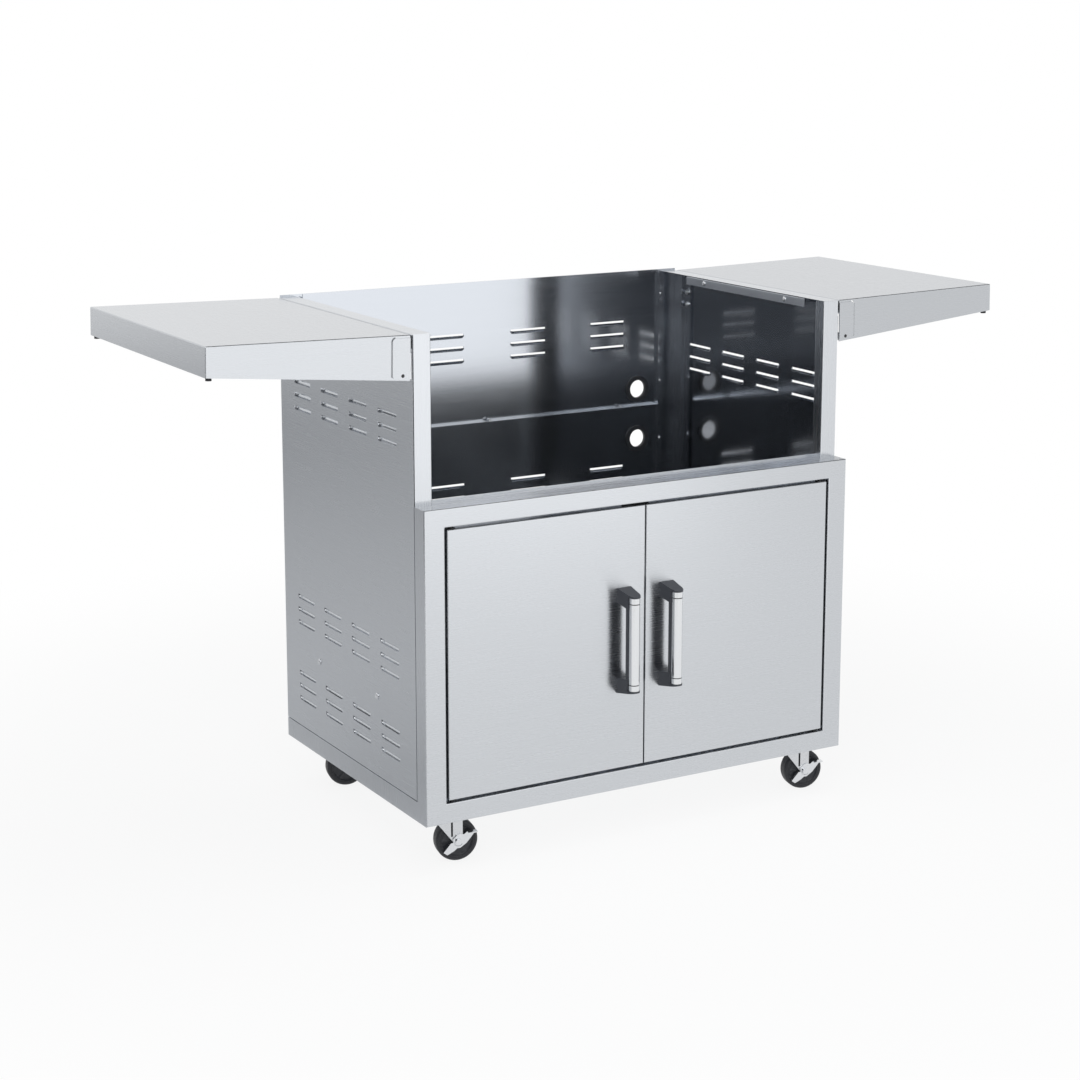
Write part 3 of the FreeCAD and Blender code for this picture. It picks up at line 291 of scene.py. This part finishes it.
def brushed_sheet(name, finishes, grain, inside=None, gloss=(0.08, 0.12), inner=None, shade=1.0):
    """No. 4 brushed stainless sheet, and its smoother mill side where inside gives that side's direction.

    Brushing leaves parallel scratches, so the eye sees a satin face with fine streaks along the grain and
    reflections that smear across it. The mill side is darker and mirrors what is near it. Faces that look
    along the grain are brushed along the sheet's other axis. The streaks are drawn about ten times as wide as
    real ones, which are finer than a pixel. Gloss and inner are the mill side's roughness and tone; a dark
    inner is painted shade on that side. The shade argument darkens the brushed side as painted shade.
    """
    material, tree = new_material(name)
    coords = add(tree, "ShaderNodeTexCoord")
    fine, long = 1 / finishes.grain_width, 1 / finishes.grain_length
    other = {"X": "Z", "Y": "X", "Z": "X"}[grain]
    facing = add(tree, "ShaderNodeVectorMath", {
        0: coords.outputs["Normal"], 1: [float(axis == grain) for axis in "XYZ"]}, operation="DOT_PRODUCT")
    tilt = add(tree, "ShaderNodeMath", {0: facing.outputs["Value"]}, operation="ABSOLUTE")
    ends = add(tree, "ShaderNodeMath", {0: tilt.outputs[0], 1: LOOKS_ALONG}, operation="GREATER_THAN")
    stretch = add(tree, "ShaderNodeMix", {
        "Factor": ends.outputs[0], "A": [long if axis == grain else fine for axis in "XYZ"],
        "B": [long if axis == other else fine for axis in "XYZ"]}, data_type="VECTOR")
    streak_at = add(tree, "ShaderNodeMapping", {
        "Vector": coords.outputs["Object"], "Scale": stretch.outputs["Result"]})
    streaks = add(tree, "ShaderNodeTexNoise", {
        "Vector": streak_at.outputs[0], "Scale": 1.0, "Detail": 3.0, "Roughness": 0.6})
    dark, light = [tinted(finishes.steel, share * shade) for share in STREAK_TONES]
    tone = add(tree, "ShaderNodeMix", {
        "Factor": streaks.outputs["Fac"], "A": dark, "B": light}, data_type="RGBA").outputs["Result"]
    roughness = add(tree, "ShaderNodeMapRange", {
        **NOISE_SPAN, "Value": streaks.outputs["Fac"], "To Min": SATIN[0], "To Max": SATIN[1]}).outputs[0]
    if inside is not None:
        inwards = add(tree, "ShaderNodeVectorMath", {
            0: coords.outputs["Normal"], 1: inside}, operation="DOT_PRODUCT")
        mask = add(tree, "ShaderNodeMath", {
            0: inwards.outputs["Value"], 1: LOOKS_IN}, operation="GREATER_THAN")
        smooth = add(tree, "ShaderNodeMapRange", {
            **NOISE_SPAN, "Value": streaks.outputs["Fac"], "To Min": gloss[0], "To Max": gloss[1]})
        tone = add(tree, "ShaderNodeMix", {
            "Factor": mask.outputs[0], "A": tone, "B": tuple(inner or finishes.mill)},
            data_type="RGBA").outputs["Result"]
        roughness = add(tree, "ShaderNodeMix", {
            "Factor": mask.outputs[0], "A": roughness, "B": smooth.outputs[0]}).outputs[0]
    bump = add(tree, "ShaderNodeBump", {
        "Height": streaks.outputs["Fac"], "Strength": 0.002, "Distance": 0.05 * MM})
    # Scratches spread light across themselves, so the tangent lies across the grain
    along = add(tree, "ShaderNodeMix", {
        "Factor": ends.outputs[0], "A": [1.0 if axis == grain else LEAN for axis in "XYZ"],
        "B": [1.0 if axis == other else LEAN for axis in "XYZ"]}, data_type="VECTOR")
    across = add(tree, "ShaderNodeVectorMath", {
        0: coords.outputs["Normal"], 1: along.outputs["Result"]}, operation="CROSS_PRODUCT")
    tangent = add(tree, "ShaderNodeVectorTransform", {0: across.outputs[0]},
                  vector_type="VECTOR", convert_from="OBJECT", convert_to="WORLD")
    shader = add(tree, "ShaderNodeBsdfPrincipled", {
        "Base Color": tone, "Metallic": 1.0, "Roughness": roughness, "Normal": bump.outputs[0],
        "Anisotropic": SMEAR, "Tangent": tangent.outputs[0]})
    close_material(tree, shader)
    return material


def mill_sheet(name, finishes, gloss):
    """Stainless sheet as it leaves the mill: a dark mirror, clear or dull, with faint clouds 60 mm wide."""
    material, tree = new_material(name)
    coords = add(tree, "ShaderNodeTexCoord")
    cloud = add(tree, "ShaderNodeTexNoise", {
        "Vector": coords.outputs["Object"], "Scale": 1 / (60 * MM), "Detail": 3.0})
    rough = add(tree, "ShaderNodeMapRange", {
        **NOISE_SPAN, "Value": cloud.outputs["Fac"], "To Min": gloss[0], "To Max": gloss[1]})
    shader = add(tree, "ShaderNodeBsdfPrincipled", {
        "Base Color": tuple(finishes.mill), "Metallic": 1.0, "Roughness": rough.outputs[0]})
    close_material(tree, shader)
    return material


def turned_bar(finishes):
    """Turned and polished stainless tube: fine rings round it, and long bright reflections along it.

    The rings are drawn 0.9 mm apart, because real turning marks are finer than a pixel.
    """
    material, tree = new_material("Turned stainless tube")
    coords = add(tree, "ShaderNodeTexCoord")
    ring_at = add(tree, "ShaderNodeMapping", {
        "Vector": coords.outputs["Object"], "Scale": (12, 12, 1 / (0.9 * MM))})
    rings = add(tree, "ShaderNodeTexNoise", {"Vector": ring_at.outputs[0], "Scale": 1.0, "Detail": 2.0})
    rough = add(tree, "ShaderNodeMapRange", {
        **NOISE_SPAN, "Value": rings.outputs["Fac"], "To Min": 0.11, "To Max": 0.16})
    bump = add(tree, "ShaderNodeBump", {
        "Height": rings.outputs["Fac"], "Strength": 0.04, "Distance": 0.1 * MM})
    shader = add(tree, "ShaderNodeBsdfPrincipled", {
        "Base Color": tuple(finishes.bar), "Metallic": 1.0, "Roughness": rough.outputs[0],
        "Normal": bump.outputs[0]})
    close_material(tree, shader)
    return material


def zinc_plate(name, colour, gloss):
    """Zinc plate on stamped steel: a pale metal with a faint mottle of 5 mm crystals and soft reflections."""
    material, tree = new_material(name)
    coords = add(tree, "ShaderNodeTexCoord")
    mottle = add(tree, "ShaderNodeTexNoise", {
        "Vector": coords.outputs["Object"], "Scale": 1 / (5 * MM), "Detail": 4.0, "Roughness": 0.6})
    rough = add(tree, "ShaderNodeMapRange", {
        **NOISE_SPAN, "Value": mottle.outputs["Fac"], "To Min": gloss[0], "To Max": gloss[1]})
    tone = add(tree, "ShaderNodeMix", {
        "Factor": mottle.outputs["Fac"], "A": tinted(colour, 0.9), "B": tinted(colour, 1.06)},
        data_type="RGBA")
    shader = add(tree, "ShaderNodeBsdfPrincipled", {
        "Base Color": tone.outputs["Result"], "Metallic": 1.0, "Roughness": rough.outputs[0]})
    close_material(tree, shader)
    return material


def speckled(name, colour, grit, rough_low, rough_high, bump_height, bump_strength):
    """A dark coating, rubber or plastic with a fine grit: two tones, uneven gloss and a shallow bump.

    The grit is drawn coarser than the real one, which is finer than a pixel.
    """
    material, tree = new_material(name)
    coords = add(tree, "ShaderNodeTexCoord")
    grain = add(tree, "ShaderNodeTexNoise", {
        "Vector": coords.outputs["Object"], "Scale": 1 / grit, "Detail": 3.0, "Roughness": 0.65})
    tone = add(tree, "ShaderNodeMix", {
        "Factor": grain.outputs["Fac"], "A": tinted(colour, 0.82), "B": tinted(colour, 1.14)},
        data_type="RGBA")
    rough = add(tree, "ShaderNodeMapRange", {
        **NOISE_SPAN, "Value": grain.outputs["Fac"], "To Min": rough_low, "To Max": rough_high})
    bump = add(tree, "ShaderNodeBump", {
        "Height": grain.outputs["Fac"], "Strength": bump_strength, "Distance": bump_height})
    shader = add(tree, "ShaderNodeBsdfPrincipled", {
        "Base Color": tone.outputs["Result"], "Roughness": rough.outputs[0], "Normal": bump.outputs[0]})
    close_material(tree, shader)
    return material


# Operators

class CART_OT_front(bpy.types.Operator):
    """Brushed steel on the front frame, cross rail, doors and posts"""

    bl_idname = "cart.front"
    bl_label = "Front frame and doors"

    def execute(self, context):
        finishes = context.scene.cart_finishes
        level = brushed_sheet("Brushed stainless, level grain", finishes, "X")
        dress(level, "front_frame", "front_cross_rail", *both("door_skin"), *both("door_liner"))
        dress(brushed_sheet("Stainless front post", finishes, "Z", (0, 1, 0)), *both("front_post"))
        return {"FINISHED"}


class CART_OT_panels(bpy.types.Operator):
    """Brushed outside and mill inside on panels and base pan, and mill finish on rails and rear posts"""

    bl_idname = "cart.panels"
    bl_label = "Panels"

    def execute(self, context):
        finishes = context.scene.cart_finishes
        for side, inwards in (("left", (1, 0, 0)), ("right", (-1, 0, 0))):
            sheet = brushed_sheet("Stainless " + side + " panel", finishes, "Y", inwards)
            dress(sheet, side + "_side_panel")
        back = brushed_sheet("Stainless back panel", finishes, "X", (0, -1, 0), (0.13, 0.16))
        dress(back, "upper_back_panel", "lower_back_panel")
        pan = brushed_sheet("Stainless base pan", finishes, "X", (0, 0, 1))
        dress(pan, "base_pan")
        dress(mill_sheet("Mill finish stainless", finishes, (0.08, 0.14)), "tank_rail")
        dress(mill_sheet("Satin mill stainless", finishes, (0.17, 0.23)), *both("rear_post"))
        dress(mill_sheet("Dull mill stainless", finishes, (0.36, 0.42)), *both("support_rail"))
        return {"FINISHED"}


class CART_OT_shelves(bpy.types.Operator):
    """Brushed steel on the side shelves, their braces and their hinge covers"""

    bl_idname = "cart.shelves"
    bl_label = "Side shelves"

    # Painted shade: the shelves and their covers take a darker copy of the cabinet's brushed steel
    SHADE = 0.92  # the shelves' sheet is a little darker than the cabinet's

    def execute(self, context):
        finishes = context.scene.cart_finishes
        # The down-facing side takes the dark underside tone: painted shade under the shelves
        sheet = brushed_sheet("Brushed stainless, shelf grain", finishes, "Y", (0, 0, -1), (0.4, 0.5),
                              finishes.underside, self.SHADE)
        dress(sheet, *both("shelf_pan"), *both("shelf_brace"))
        covers = brushed_sheet("Brushed stainless, hinge covers", finishes, "X", shade=self.SHADE)
        dress(covers, *both("shelf_hinge_covers"))
        return {"FINISHED"}


class CART_OT_handles(bpy.types.Operator):
    """Turned bars and painted die-cast mounts"""

    bl_idname = "cart.handles"
    bl_label = "Handles"

    TURNS = 96  # steps round a bar
    BREAK = 0.5 * MM  # width of the broken edge at a bar's ends
    GROOVE = (3, 4, 5)  # the steps of a bar's profile, counted from either end, that make its groove

    def execute(self, context):
        finishes = context.scene.cart_finishes
        sizes = context.scene.cart_fittings
        polished = turned_bar(finishes)
        # Groove faces drawn nearly black: painted shade, a thin dark line round the bright bar
        painted_shade = speckled("Groove filler", finishes.catch, 1 * MM, 0.4, 0.55, 0.1 * MM, 0.05)
        for side in ("left", "right"):
            self.bar(side, sizes, polished, painted_shade)
        # Powder paint on die-cast zinc: an even dark grey with a fine grit and a soft sheen
        paint = speckled("Powder painted die casting", finishes.die_cast, 1.5 * MM, 0.38, 0.5, 0.2 * MM, 0.1)
        dress(paint, *both("handle_mounts"))
        return {"FINISHED"}

    def bar(self, side, sizes, polished, painted_shade):
        """A bar turned about its upright axis, with broken ends and a square groove near each of them."""
        low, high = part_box(side + "_handle_bar")
        radius, length = (high.x - low.x) / 2, (high.z - low.z) / 2
        far = length - sizes.groove_place - sizes.groove_width / 2
        near = far + sizes.groove_width
        floor = radius - sizes.groove_depth
        half = [(0, length), (radius - self.BREAK, length), (radius, length - self.BREAK),
                (radius, near), (floor, near), (floor, far), (radius, far), (radius, 0)]
        out, along = both_sides(half).T
        turns = np.zeros((self.TURNS, 1))
        grid = turned(out + turns, along + turns, (low + high) / 2, (0, 0, 1))
        piece = surface(side + "_turned_bar", grid, closed_u=True)
        piece.data.materials.append(polished)
        piece.data.materials.append(painted_shade)
        # The groove's faces take the near-black material: painted shade in the groove
        steps = np.arange(len(out) - 1)
        grooved = np.isin(np.minimum(steps, steps[::-1]), self.GROOVE)
        piece.data.polygons.foreach_set("material_index", np.tile(grooved, self.TURNS).astype(int))
        close_shell(piece)
        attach(piece, side + "_door")
        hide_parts(side + "_handle_bar")


class CART_OT_fittings(bpy.types.Operator):
    """Plated steel on forks, levers, plates, brackets and bolts, and black oxide on pins, both partly painted
    shade
    """

    bl_idname = "cart.fittings"
    bl_label = "Plated fittings"

    def execute(self, context):
        finishes = context.scene.cart_finishes
        forks = [name for name in NODES if name.endswith("_fork")]
        # Forks, plates, brackets and bolts: a rougher plate whose tone is cut to 0.9 as painted shade
        zinc = zinc_plate("Dull zinc plate", tinted(finishes.zinc, 0.9), (0.24, 0.36))
        dress(zinc, "caster_bolts", "caster_plates", "shelf_bracket_bolts",
              *both("shelf_brackets"), *both("strike_plate"), *forks)
        bright = zinc_plate("Bright zinc plate", finishes.zinc, (0.12, 0.2))
        dress(bright, *[name for name in NODES if name.endswith(("_axle", "_brake_lever"))])
        # Black oxide pins: nearly black with an oily gloss; the near-black is partly painted shade, so the
        # gaps round the doors stay dark
        pins = speckled("Black oxide steel", finishes.catch, 2 * MM, 0.3, 0.42, 0.1 * MM, 0.05)
        dress(pins, "door_pivot_pins", *both("shelf_pins"))
        return {"FINISHED"}


class CART_OT_screws(bpy.types.Operator):
    """Domed cross-recess screws with hexagon nuts, in place of the plain panel bolts"""

    bl_idname = "cart.screws"
    bl_label = "Panel screws"

    CREASE = 25.0  # degrees, above which an edge of a head or nut is sharp
    HEAD_TURNS, HEAD_RINGS = 64, 22  # steps round a head, and from its rim to its middle
    RIM = 0.35  # height of a head's upright rim, as a share of the head's
    DOME = 0.6  # power of the dome's curve
    ARM_WIDTH, ARM_LENGTH = 0.13, 0.62  # half sizes of the cross's arms, as shares of the head's radius
    NUT_TURNS = 48  # steps round a nut
    CHAMFER = 0.52  # radius of a nut's chamfer, as a share of its width
    THREAD, POINT = 2.5 * MM, 0.8  # radius of a bolt's end, and of its point as a share of that
    RISE = [0, 0, 2.1, 2.6, 2.6, 4.4, 5.0, 5.0]  # height of each ring of a nut and bolt end, in mm

    def execute(self, context):
        sizes = context.scene.cart_fittings
        small = REAR_SCREWS + SEAM_SCREWS + RAIL_SCREWS
        heads = [self.head(sizes, sizes.screw_radius, place, outwards) for place, outwards, grip in small]
        heads += [self.head(sizes, sizes.tank_screw_radius, place, outwards)
                  for place, outwards, grip in TANK_SCREWS]
        nuts = [self.nut(sizes, *screw) for screw in small + TANK_SCREWS]
        steel = zinc_plate("Plated screw steel", context.scene.cart_finishes.zinc, (0.14, 0.22))
        for name, grids in (("panel_screw_heads", heads), ("panel_screw_nuts", nuts)):
            piece = surface(name, np.stack(grids), closed_u=True)
            close_shell(piece, self.CREASE)
            piece.data.materials.append(steel)
            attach(piece, "cabinet")
            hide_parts("panel_bolts")
        return {"FINISHED"}

    def head(self, sizes, radius, place, outwards):
        """A disc with an upright rim under a dome, (1 - share^2) to a power, less a cross of two bars.

        A bar is at full depth to half its arm's width and three quarters of its length, then slopes up.
        """
        angle = np.linspace(0, 2 * np.pi, self.HEAD_TURNS, endpoint=False)[:, None]
        share = np.linspace(1, 0, self.HEAD_RINGS)[None, :]
        dome = sizes.screw_height * (self.RIM + (1 - self.RIM) * (1 - share ** 2) ** self.DOME)
        x, y = radius * share * np.cos(angle), radius * share * np.sin(angle)
        width, length = self.ARM_WIDTH * radius, self.ARM_LENGTH * radius

        def bar(along, beside):
            floor = np.clip(1.5 - np.abs(beside) / width, 0, 1)
            return floor * np.clip(4 * (1 - np.abs(along) / length), 0, 1)

        top = dome - sizes.recess_depth * np.maximum(bar(x, y), bar(y, x))
        none = 0 * angle
        flat = np.concatenate([none, none + radius, radius * share + none], 1)
        rise = np.concatenate([none, none, top], 1)
        return turned(flat, rise, np.array(place) * MM, outwards)

    def nut(self, sizes, place, outwards, grip):
        """A chamfered hexagon, radius half its width / cos(angle within a sixth), and the bolt's end."""
        angle = np.linspace(0, 2 * np.pi, self.NUT_TURNS, endpoint=False)[:, None]
        none = 0 * angle
        sixth = np.pi / 3
        hexagon = 0.5 * sizes.nut_width / np.cos((angle + sixth / 2) % sixth - sixth / 2)
        chamfer = np.minimum(hexagon, self.CHAMFER * sizes.nut_width)
        thread = self.THREAD + none
        rings = [none, hexagon, hexagon, chamfer, thread, thread, self.POINT * thread, none]
        rise = np.array(self.RISE)[None, :] * MM + none
        inwards = -np.array(outwards, float)
        return turned(np.concatenate(rings, 1), rise, (np.array(place) + grip * inwards) * MM, inwards)


class CART_OT_wheels(bpy.types.Operator):
    """Rubber tyres on ribbed wheel centres, in place of the plain wheels"""

    bl_idname = "cart.wheels"
    bl_label = "Wheels"

    # Half profiles as radius and side in millimetres, from the tread or the bore outwards to one side
    TYRE = [(37.5, 0), (37.5, 4), (37.4, 8), (37.0, 9.6), (36.1, 11), (34.8, 12), (33.2, 12.5), (31.6, 12.5),
            (31.2, 12.1), (30.4, 12.1), (30.0, 12.5), (28.8, 12.5), (28.2, 12.2), (28.0, 11.6), (28.0, 4)]
    CENTRE = [(4.2, 4), (4.2, 13.3), (10.8, 13.3), (11.7, 13.0), (12.1, 12.2), (12.6, 9.8), (13.6, 9.2),
              (17, 9.0), (21, 9.0), (25, 9.1), (26.4, 9.5), (27.2, 10.6), (28.2, 11.0), (28.2, 4)]
    RIB_SHARE = [0, 0, 0, 0, 0, 0.6, 1, 1, 1, 0.9, 0.5, 0, 0, 0]  # height of a rib at each point of CENTRE
    TURNS, RIBS = 144, 6  # steps round a wheel, and ribs on each side of it
    RIB_SLOPE, RIB_CUT = 3, 1.8  # a rib rises as slope cos(ribs a) - cut round the wheel, kept from 0 to 1

    def execute(self, context):
        finishes = context.scene.cart_finishes
        # Black rubber tread: matt, with a faint bloom that greys it unevenly
        rubber = speckled("Rubber tyre", finishes.rubber, 3 * MM, 0.42, 0.6, 0.2 * MM, 0.12)
        # Moulded polypropylene: near black with the fine haze of a textured mould
        moulded = speckled("Moulded polypropylene", finishes.hub, 2 * MM, 0.35, 0.5, 0.1 * MM, 0.08)
        angle = np.linspace(0, 2 * np.pi, self.TURNS, endpoint=False)[:, None]
        round_wheel = np.clip(self.RIB_SLOPE * np.cos(self.RIBS * angle) - self.RIB_CUT, 0, 1)
        on_profile = np.concatenate([self.RIB_SHARE, -np.array(self.RIB_SHARE[::-1])])
        lift = context.scene.cart_fittings.rib_height * round_wheel * on_profile
        for joint in frame["joints"]:
            if not joint["name"].endswith("_roll"):
                continue
            wheel = joint["name"].removesuffix("_roll")
            for part, half, proud, material in (
                    ("tyre", self.TYRE, 0 * angle, rubber), ("wheel_centre", self.CENTRE, lift, moulded)):
                radius, side = both_sides(half).T * MM
                grid = turned(radius + 0 * angle, side + proud, joint["pos_m"], joint["axis"])
                piece = surface(wheel + "_" + part, grid, closed_u=True, closed_v=True)
                close_shell(piece)
                piece.data.materials.append(material)
                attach(piece, joint["child"])
                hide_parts(wheel + "_wheel")
        return {"FINISHED"}


class CART_OT_mouldings(bpy.types.Operator):
    """Rubber, nylon and moulded plastic pieces"""

    bl_idname = "cart.mouldings"
    bl_label = "Rubber and plastic"

    def execute(self, context):
        finishes = context.scene.cart_finishes
        # Black rubber: matt, with a faint bloom that greys it unevenly
        rubber = speckled("Black rubber", finishes.rubber, 3 * MM, 0.5, 0.68, 0.2 * MM, 0.12)
        dress(rubber, "hose_grommets", *both("shelf_bumpers"))
        # Black nylon: smooth and waxy, with a soft sheen
        nylon = speckled("Black nylon", finishes.nylon, 2 * MM, 0.3, 0.42, 0.1 * MM, 0.05)
        dress(nylon, *both("door_bushes"))
        # Moulded ABS: dark, with the fine grit of a spark-eroded mould
        catch = speckled("Black moulded ABS", finishes.catch, 1 * MM, 0.35, 0.5, 0.1 * MM, 0.08)
        dress(catch, "magnet_catch")
        return {"FINISHED"}


class CART_OT_stage(bpy.types.Operator):
    """Paper floor, soft lamps, grey cards, white surround and the camera"""

    bl_idname = "cart.stage"
    bl_label = "Stage"

    # Softboxes: name, place, the point that each faces, width and height, and power in watts
    LAMPS = (
        ("Key softbox", (-1.8, -3.4, 3.4), (0, 0, 0.5), (2.6, 2.6), 50),
        ("Top softbox", (0.2, -0.6, 4.2), (0, 0, 0.6), (3.0, 3.0), 46),
        ("Front softbox", (1.0, -4.4, 0.8), (0, 0, 0.5), (3.4, 2.8), 17),
    )
    # Cards: name, middle of the foot, the way that each faces, width, height, colour, and if it lies level
    CARDS = (
        ("Left card", (-2.0, 2.6, 0.0), (0.62, -0.78), 3.2, 0.45, "#B0B2B6", False),
        ("Near card", (-1.75, -1.8, 0.0), (0.5, 0.86), 2.0, 1.0, "#5C5E62", False),
        ("Side card", (-2.5, 0.4, 0.0), (1.0, 0.0), 2.4, 0.6, "#55575C", False),
        ("Floor card", (-0.5, 1.4, 0.01), (-1.0, 0.0), 3.8, 2.6, "#ECEDEF", True),
        ("Ceiling card", (1.0, -1.75, 2.6), (0.0, 1.0), 3.5, 2.5, "#303236", True),
    )
    FLOOR_TURNS, FLOOR_RINGS = 96, 8  # steps round the paper, and from its middle to its rim
    WHITE_SHARE = 0.87  # white in the paper near the cart; the rest of it is lit and keeps the shadow
    WHITE_FROM, WHITE_TO = 0.9, 0.8  # metres where the white starts, and share of the radius where it is full
    FILL, WHITE = 0.5, 1.0  # strength of the surround as light, and as it is seen

    def execute(self, context):
        scene = context.scene
        stage = scene.cart_stage
        scene.view_settings.view_transform = "Standard"
        self.floor(stage)
        self.world(scene)
        for lamp in self.LAMPS:
            self.lamp(*lamp)
        for card in self.CARDS:
            self.card(*card)
        self.camera(scene, stage)
        return {"FINISHED"}

    def seen(self, tree):
        """1 for rays from the camera, mirrors and glass, and 0 for light that falls on the cart."""
        path = add(tree, "ShaderNodeLightPath")
        direct = add(tree, "ShaderNodeMath", {
            0: path.outputs["Is Camera Ray"], 1: path.outputs["Is Glossy Ray"]}, operation="MAXIMUM")
        every = add(tree, "ShaderNodeMath", {
            0: direct.outputs[0], 1: path.outputs["Is Transmission Ray"]}, operation="MAXIMUM")
        return every.outputs[0]

    def floor(self, stage):
        """A round of paper: radius times (cos a, sin a) over a grid of angle and radius, white at its rim."""
        turn, reach = np.meshgrid(np.linspace(0, 2 * np.pi, self.FLOOR_TURNS + 1)[:-1],
                                  np.linspace(0, 1, self.FLOOR_RINGS + 1)[1:], indexing="ij")
        ring = stage.floor_radius * np.stack([reach * np.cos(turn), reach * np.sin(turn), 0 * turn], -1)
        middle = np.zeros((self.FLOOR_TURNS, 1, 3))
        floor = surface("Floor", np.concatenate([middle, ring], 1), closed_u=True)
        material, tree = new_material("Paper floor")
        coords = add(tree, "ShaderNodeTexCoord")
        out = add(tree, "ShaderNodeVectorMath", {0: coords.outputs["Object"]}, operation="LENGTH")
        lost = add(tree, "ShaderNodeMapRange", {
            "Value": out.outputs["Value"], "From Min": self.WHITE_FROM,
            "From Max": self.WHITE_TO * stage.floor_radius, "To Min": self.WHITE_SHARE, "To Max": 1.0},
            interpolation_type="SMOOTHSTEP")
        share = add(tree, "ShaderNodeMath", {0: self.seen(tree), 1: lost.outputs[0]}, operation="MULTIPLY")
        paper = add(tree, "ShaderNodeBsdfDiffuse", {"Color": tuple(stage.floor)})
        white = add(tree, "ShaderNodeEmission", {"Color": (1, 1, 1, 1), "Strength": self.WHITE})
        mixed = add(tree, "ShaderNodeMixShader", {
            0: share.outputs[0], 1: paper.outputs[0], 2: white.outputs[0]})
        close_material(tree, mixed)
        floor.data.materials.append(material)

    def card(self, name, foot, facing, width, height, colour, level):
        """A grey card, unseen by the camera, that darkens what a sheet mirrors: foot + u width + v height.

        It stands up from its foot, or lies level from there the way that it faces.
        """
        along = np.array([-facing[1], facing[0], 0.0])
        upwards = np.array([facing[0], facing[1], 0.0]) if level else np.array([0.0, 0.0, 1.0])
        u, v = np.meshgrid(np.linspace(-0.5, 0.5, 2), np.linspace(0, 1, 2), indexing="ij")
        grid = np.array(foot) + u[..., None] * width * along + v[..., None] * height * upwards
        card = surface(name, grid)
        material, tree = new_material(name)
        close_material(tree, add(tree, "ShaderNodeBsdfDiffuse", {"Color": linear(colour)}))
        card.data.materials.append(material)
        card.visible_camera = False
        card.visible_shadow = False
        card.visible_diffuse = False

    def world(self, scene):
        """White to the camera and to mirrors, and a plain grey fill for everything else."""
        world = bpy.data.worlds.new("Studio")
        world.use_nodes = True
        scene.world = world
        tree = world.node_tree
        tree.nodes.clear()
        strength = add(tree, "ShaderNodeMapRange", {
            "Value": self.seen(tree), "To Min": self.FILL, "To Max": self.WHITE})
        back = add(tree, "ShaderNodeBackground", {"Color": (1, 1, 1, 1), "Strength": strength.outputs[0]})
        add(tree, "ShaderNodeOutputWorld", {"Surface": back.outputs[0]})

    def lamp(self, name, place, target, size, power):
        """A softbox that faces its target."""
        data = bpy.data.lights.new(name, "AREA")
        data.shape = "RECTANGLE"
        data.size, data.size_y = size
        data.energy = power
        lamp = bpy.data.objects.new(name, data)
        lamp.location = place
        lamp.rotation_euler = (Vector(target) - Vector(place)).to_track_quat("-Z", "Y").to_euler()
        bpy.context.scene.collection.objects.link(lamp)

    def camera(self, scene, stage):
        """A camera at the stage's place, turned by its yaw and pitch."""
        data = bpy.data.cameras.new("Camera")
        data.lens = stage.lens
        data.sensor_width = 36.0
        data.shift_y = stage.shift
        data.clip_end = 100.0
        camera = bpy.data.objects.new("Camera", data)
        yaw, pitch = stage.camera_yaw, stage.camera_pitch
        view = Vector((math.sin(yaw) * math.cos(pitch), math.cos(yaw) * math.cos(pitch), -math.sin(pitch)))
        camera.location = FRAME_LOW + Vector(stage.camera_place)
        camera.rotation_euler = view.to_track_quat("-Z", "Y").to_euler()
        scene.collection.objects.link(camera)
        scene.camera = camera


OPERATORS = (
    CART_OT_front, CART_OT_panels, CART_OT_shelves, CART_OT_handles, CART_OT_fittings, CART_OT_screws,
    CART_OT_wheels, CART_OT_mouldings, CART_OT_stage,
)


class CART_PT_panel(bpy.types.Panel):
    """Lists the cart's steps in the sidebar"""

    bl_idname = "CART_PT_panel"
    bl_label = "Grill cart"
    bl_space_type = "VIEW_3D"
    bl_region_type = "UI"
    bl_category = "Cart"

    def draw(self, context):
        for operator in OPERATORS:
            self.layout.operator(operator.bl_idname)


CLASSES = (CartFinishes, CartFittings, CartStage) + OPERATORS + (CART_PT_panel,)


def register():
    for cls in CLASSES:
        bpy.utils.register_class(cls)
    bpy.types.Scene.cart_finishes = bpy.props.PointerProperty(type=CartFinishes)
    bpy.types.Scene.cart_fittings = bpy.props.PointerProperty(type=CartFittings)
    bpy.types.Scene.cart_stage = bpy.props.PointerProperty(type=CartStage)


def unregister():
    del bpy.types.Scene.cart_stage
    del bpy.types.Scene.cart_fittings
    del bpy.types.Scene.cart_finishes
    for cls in reversed(CLASSES):
        bpy.utils.unregister_class(cls)


def main():
    register()
    for operator in OPERATORS:
        group, name = operator.bl_idname.split(".")
        getattr(getattr(bpy.ops, group), name)()


if __name__ == "__main__":
    main()
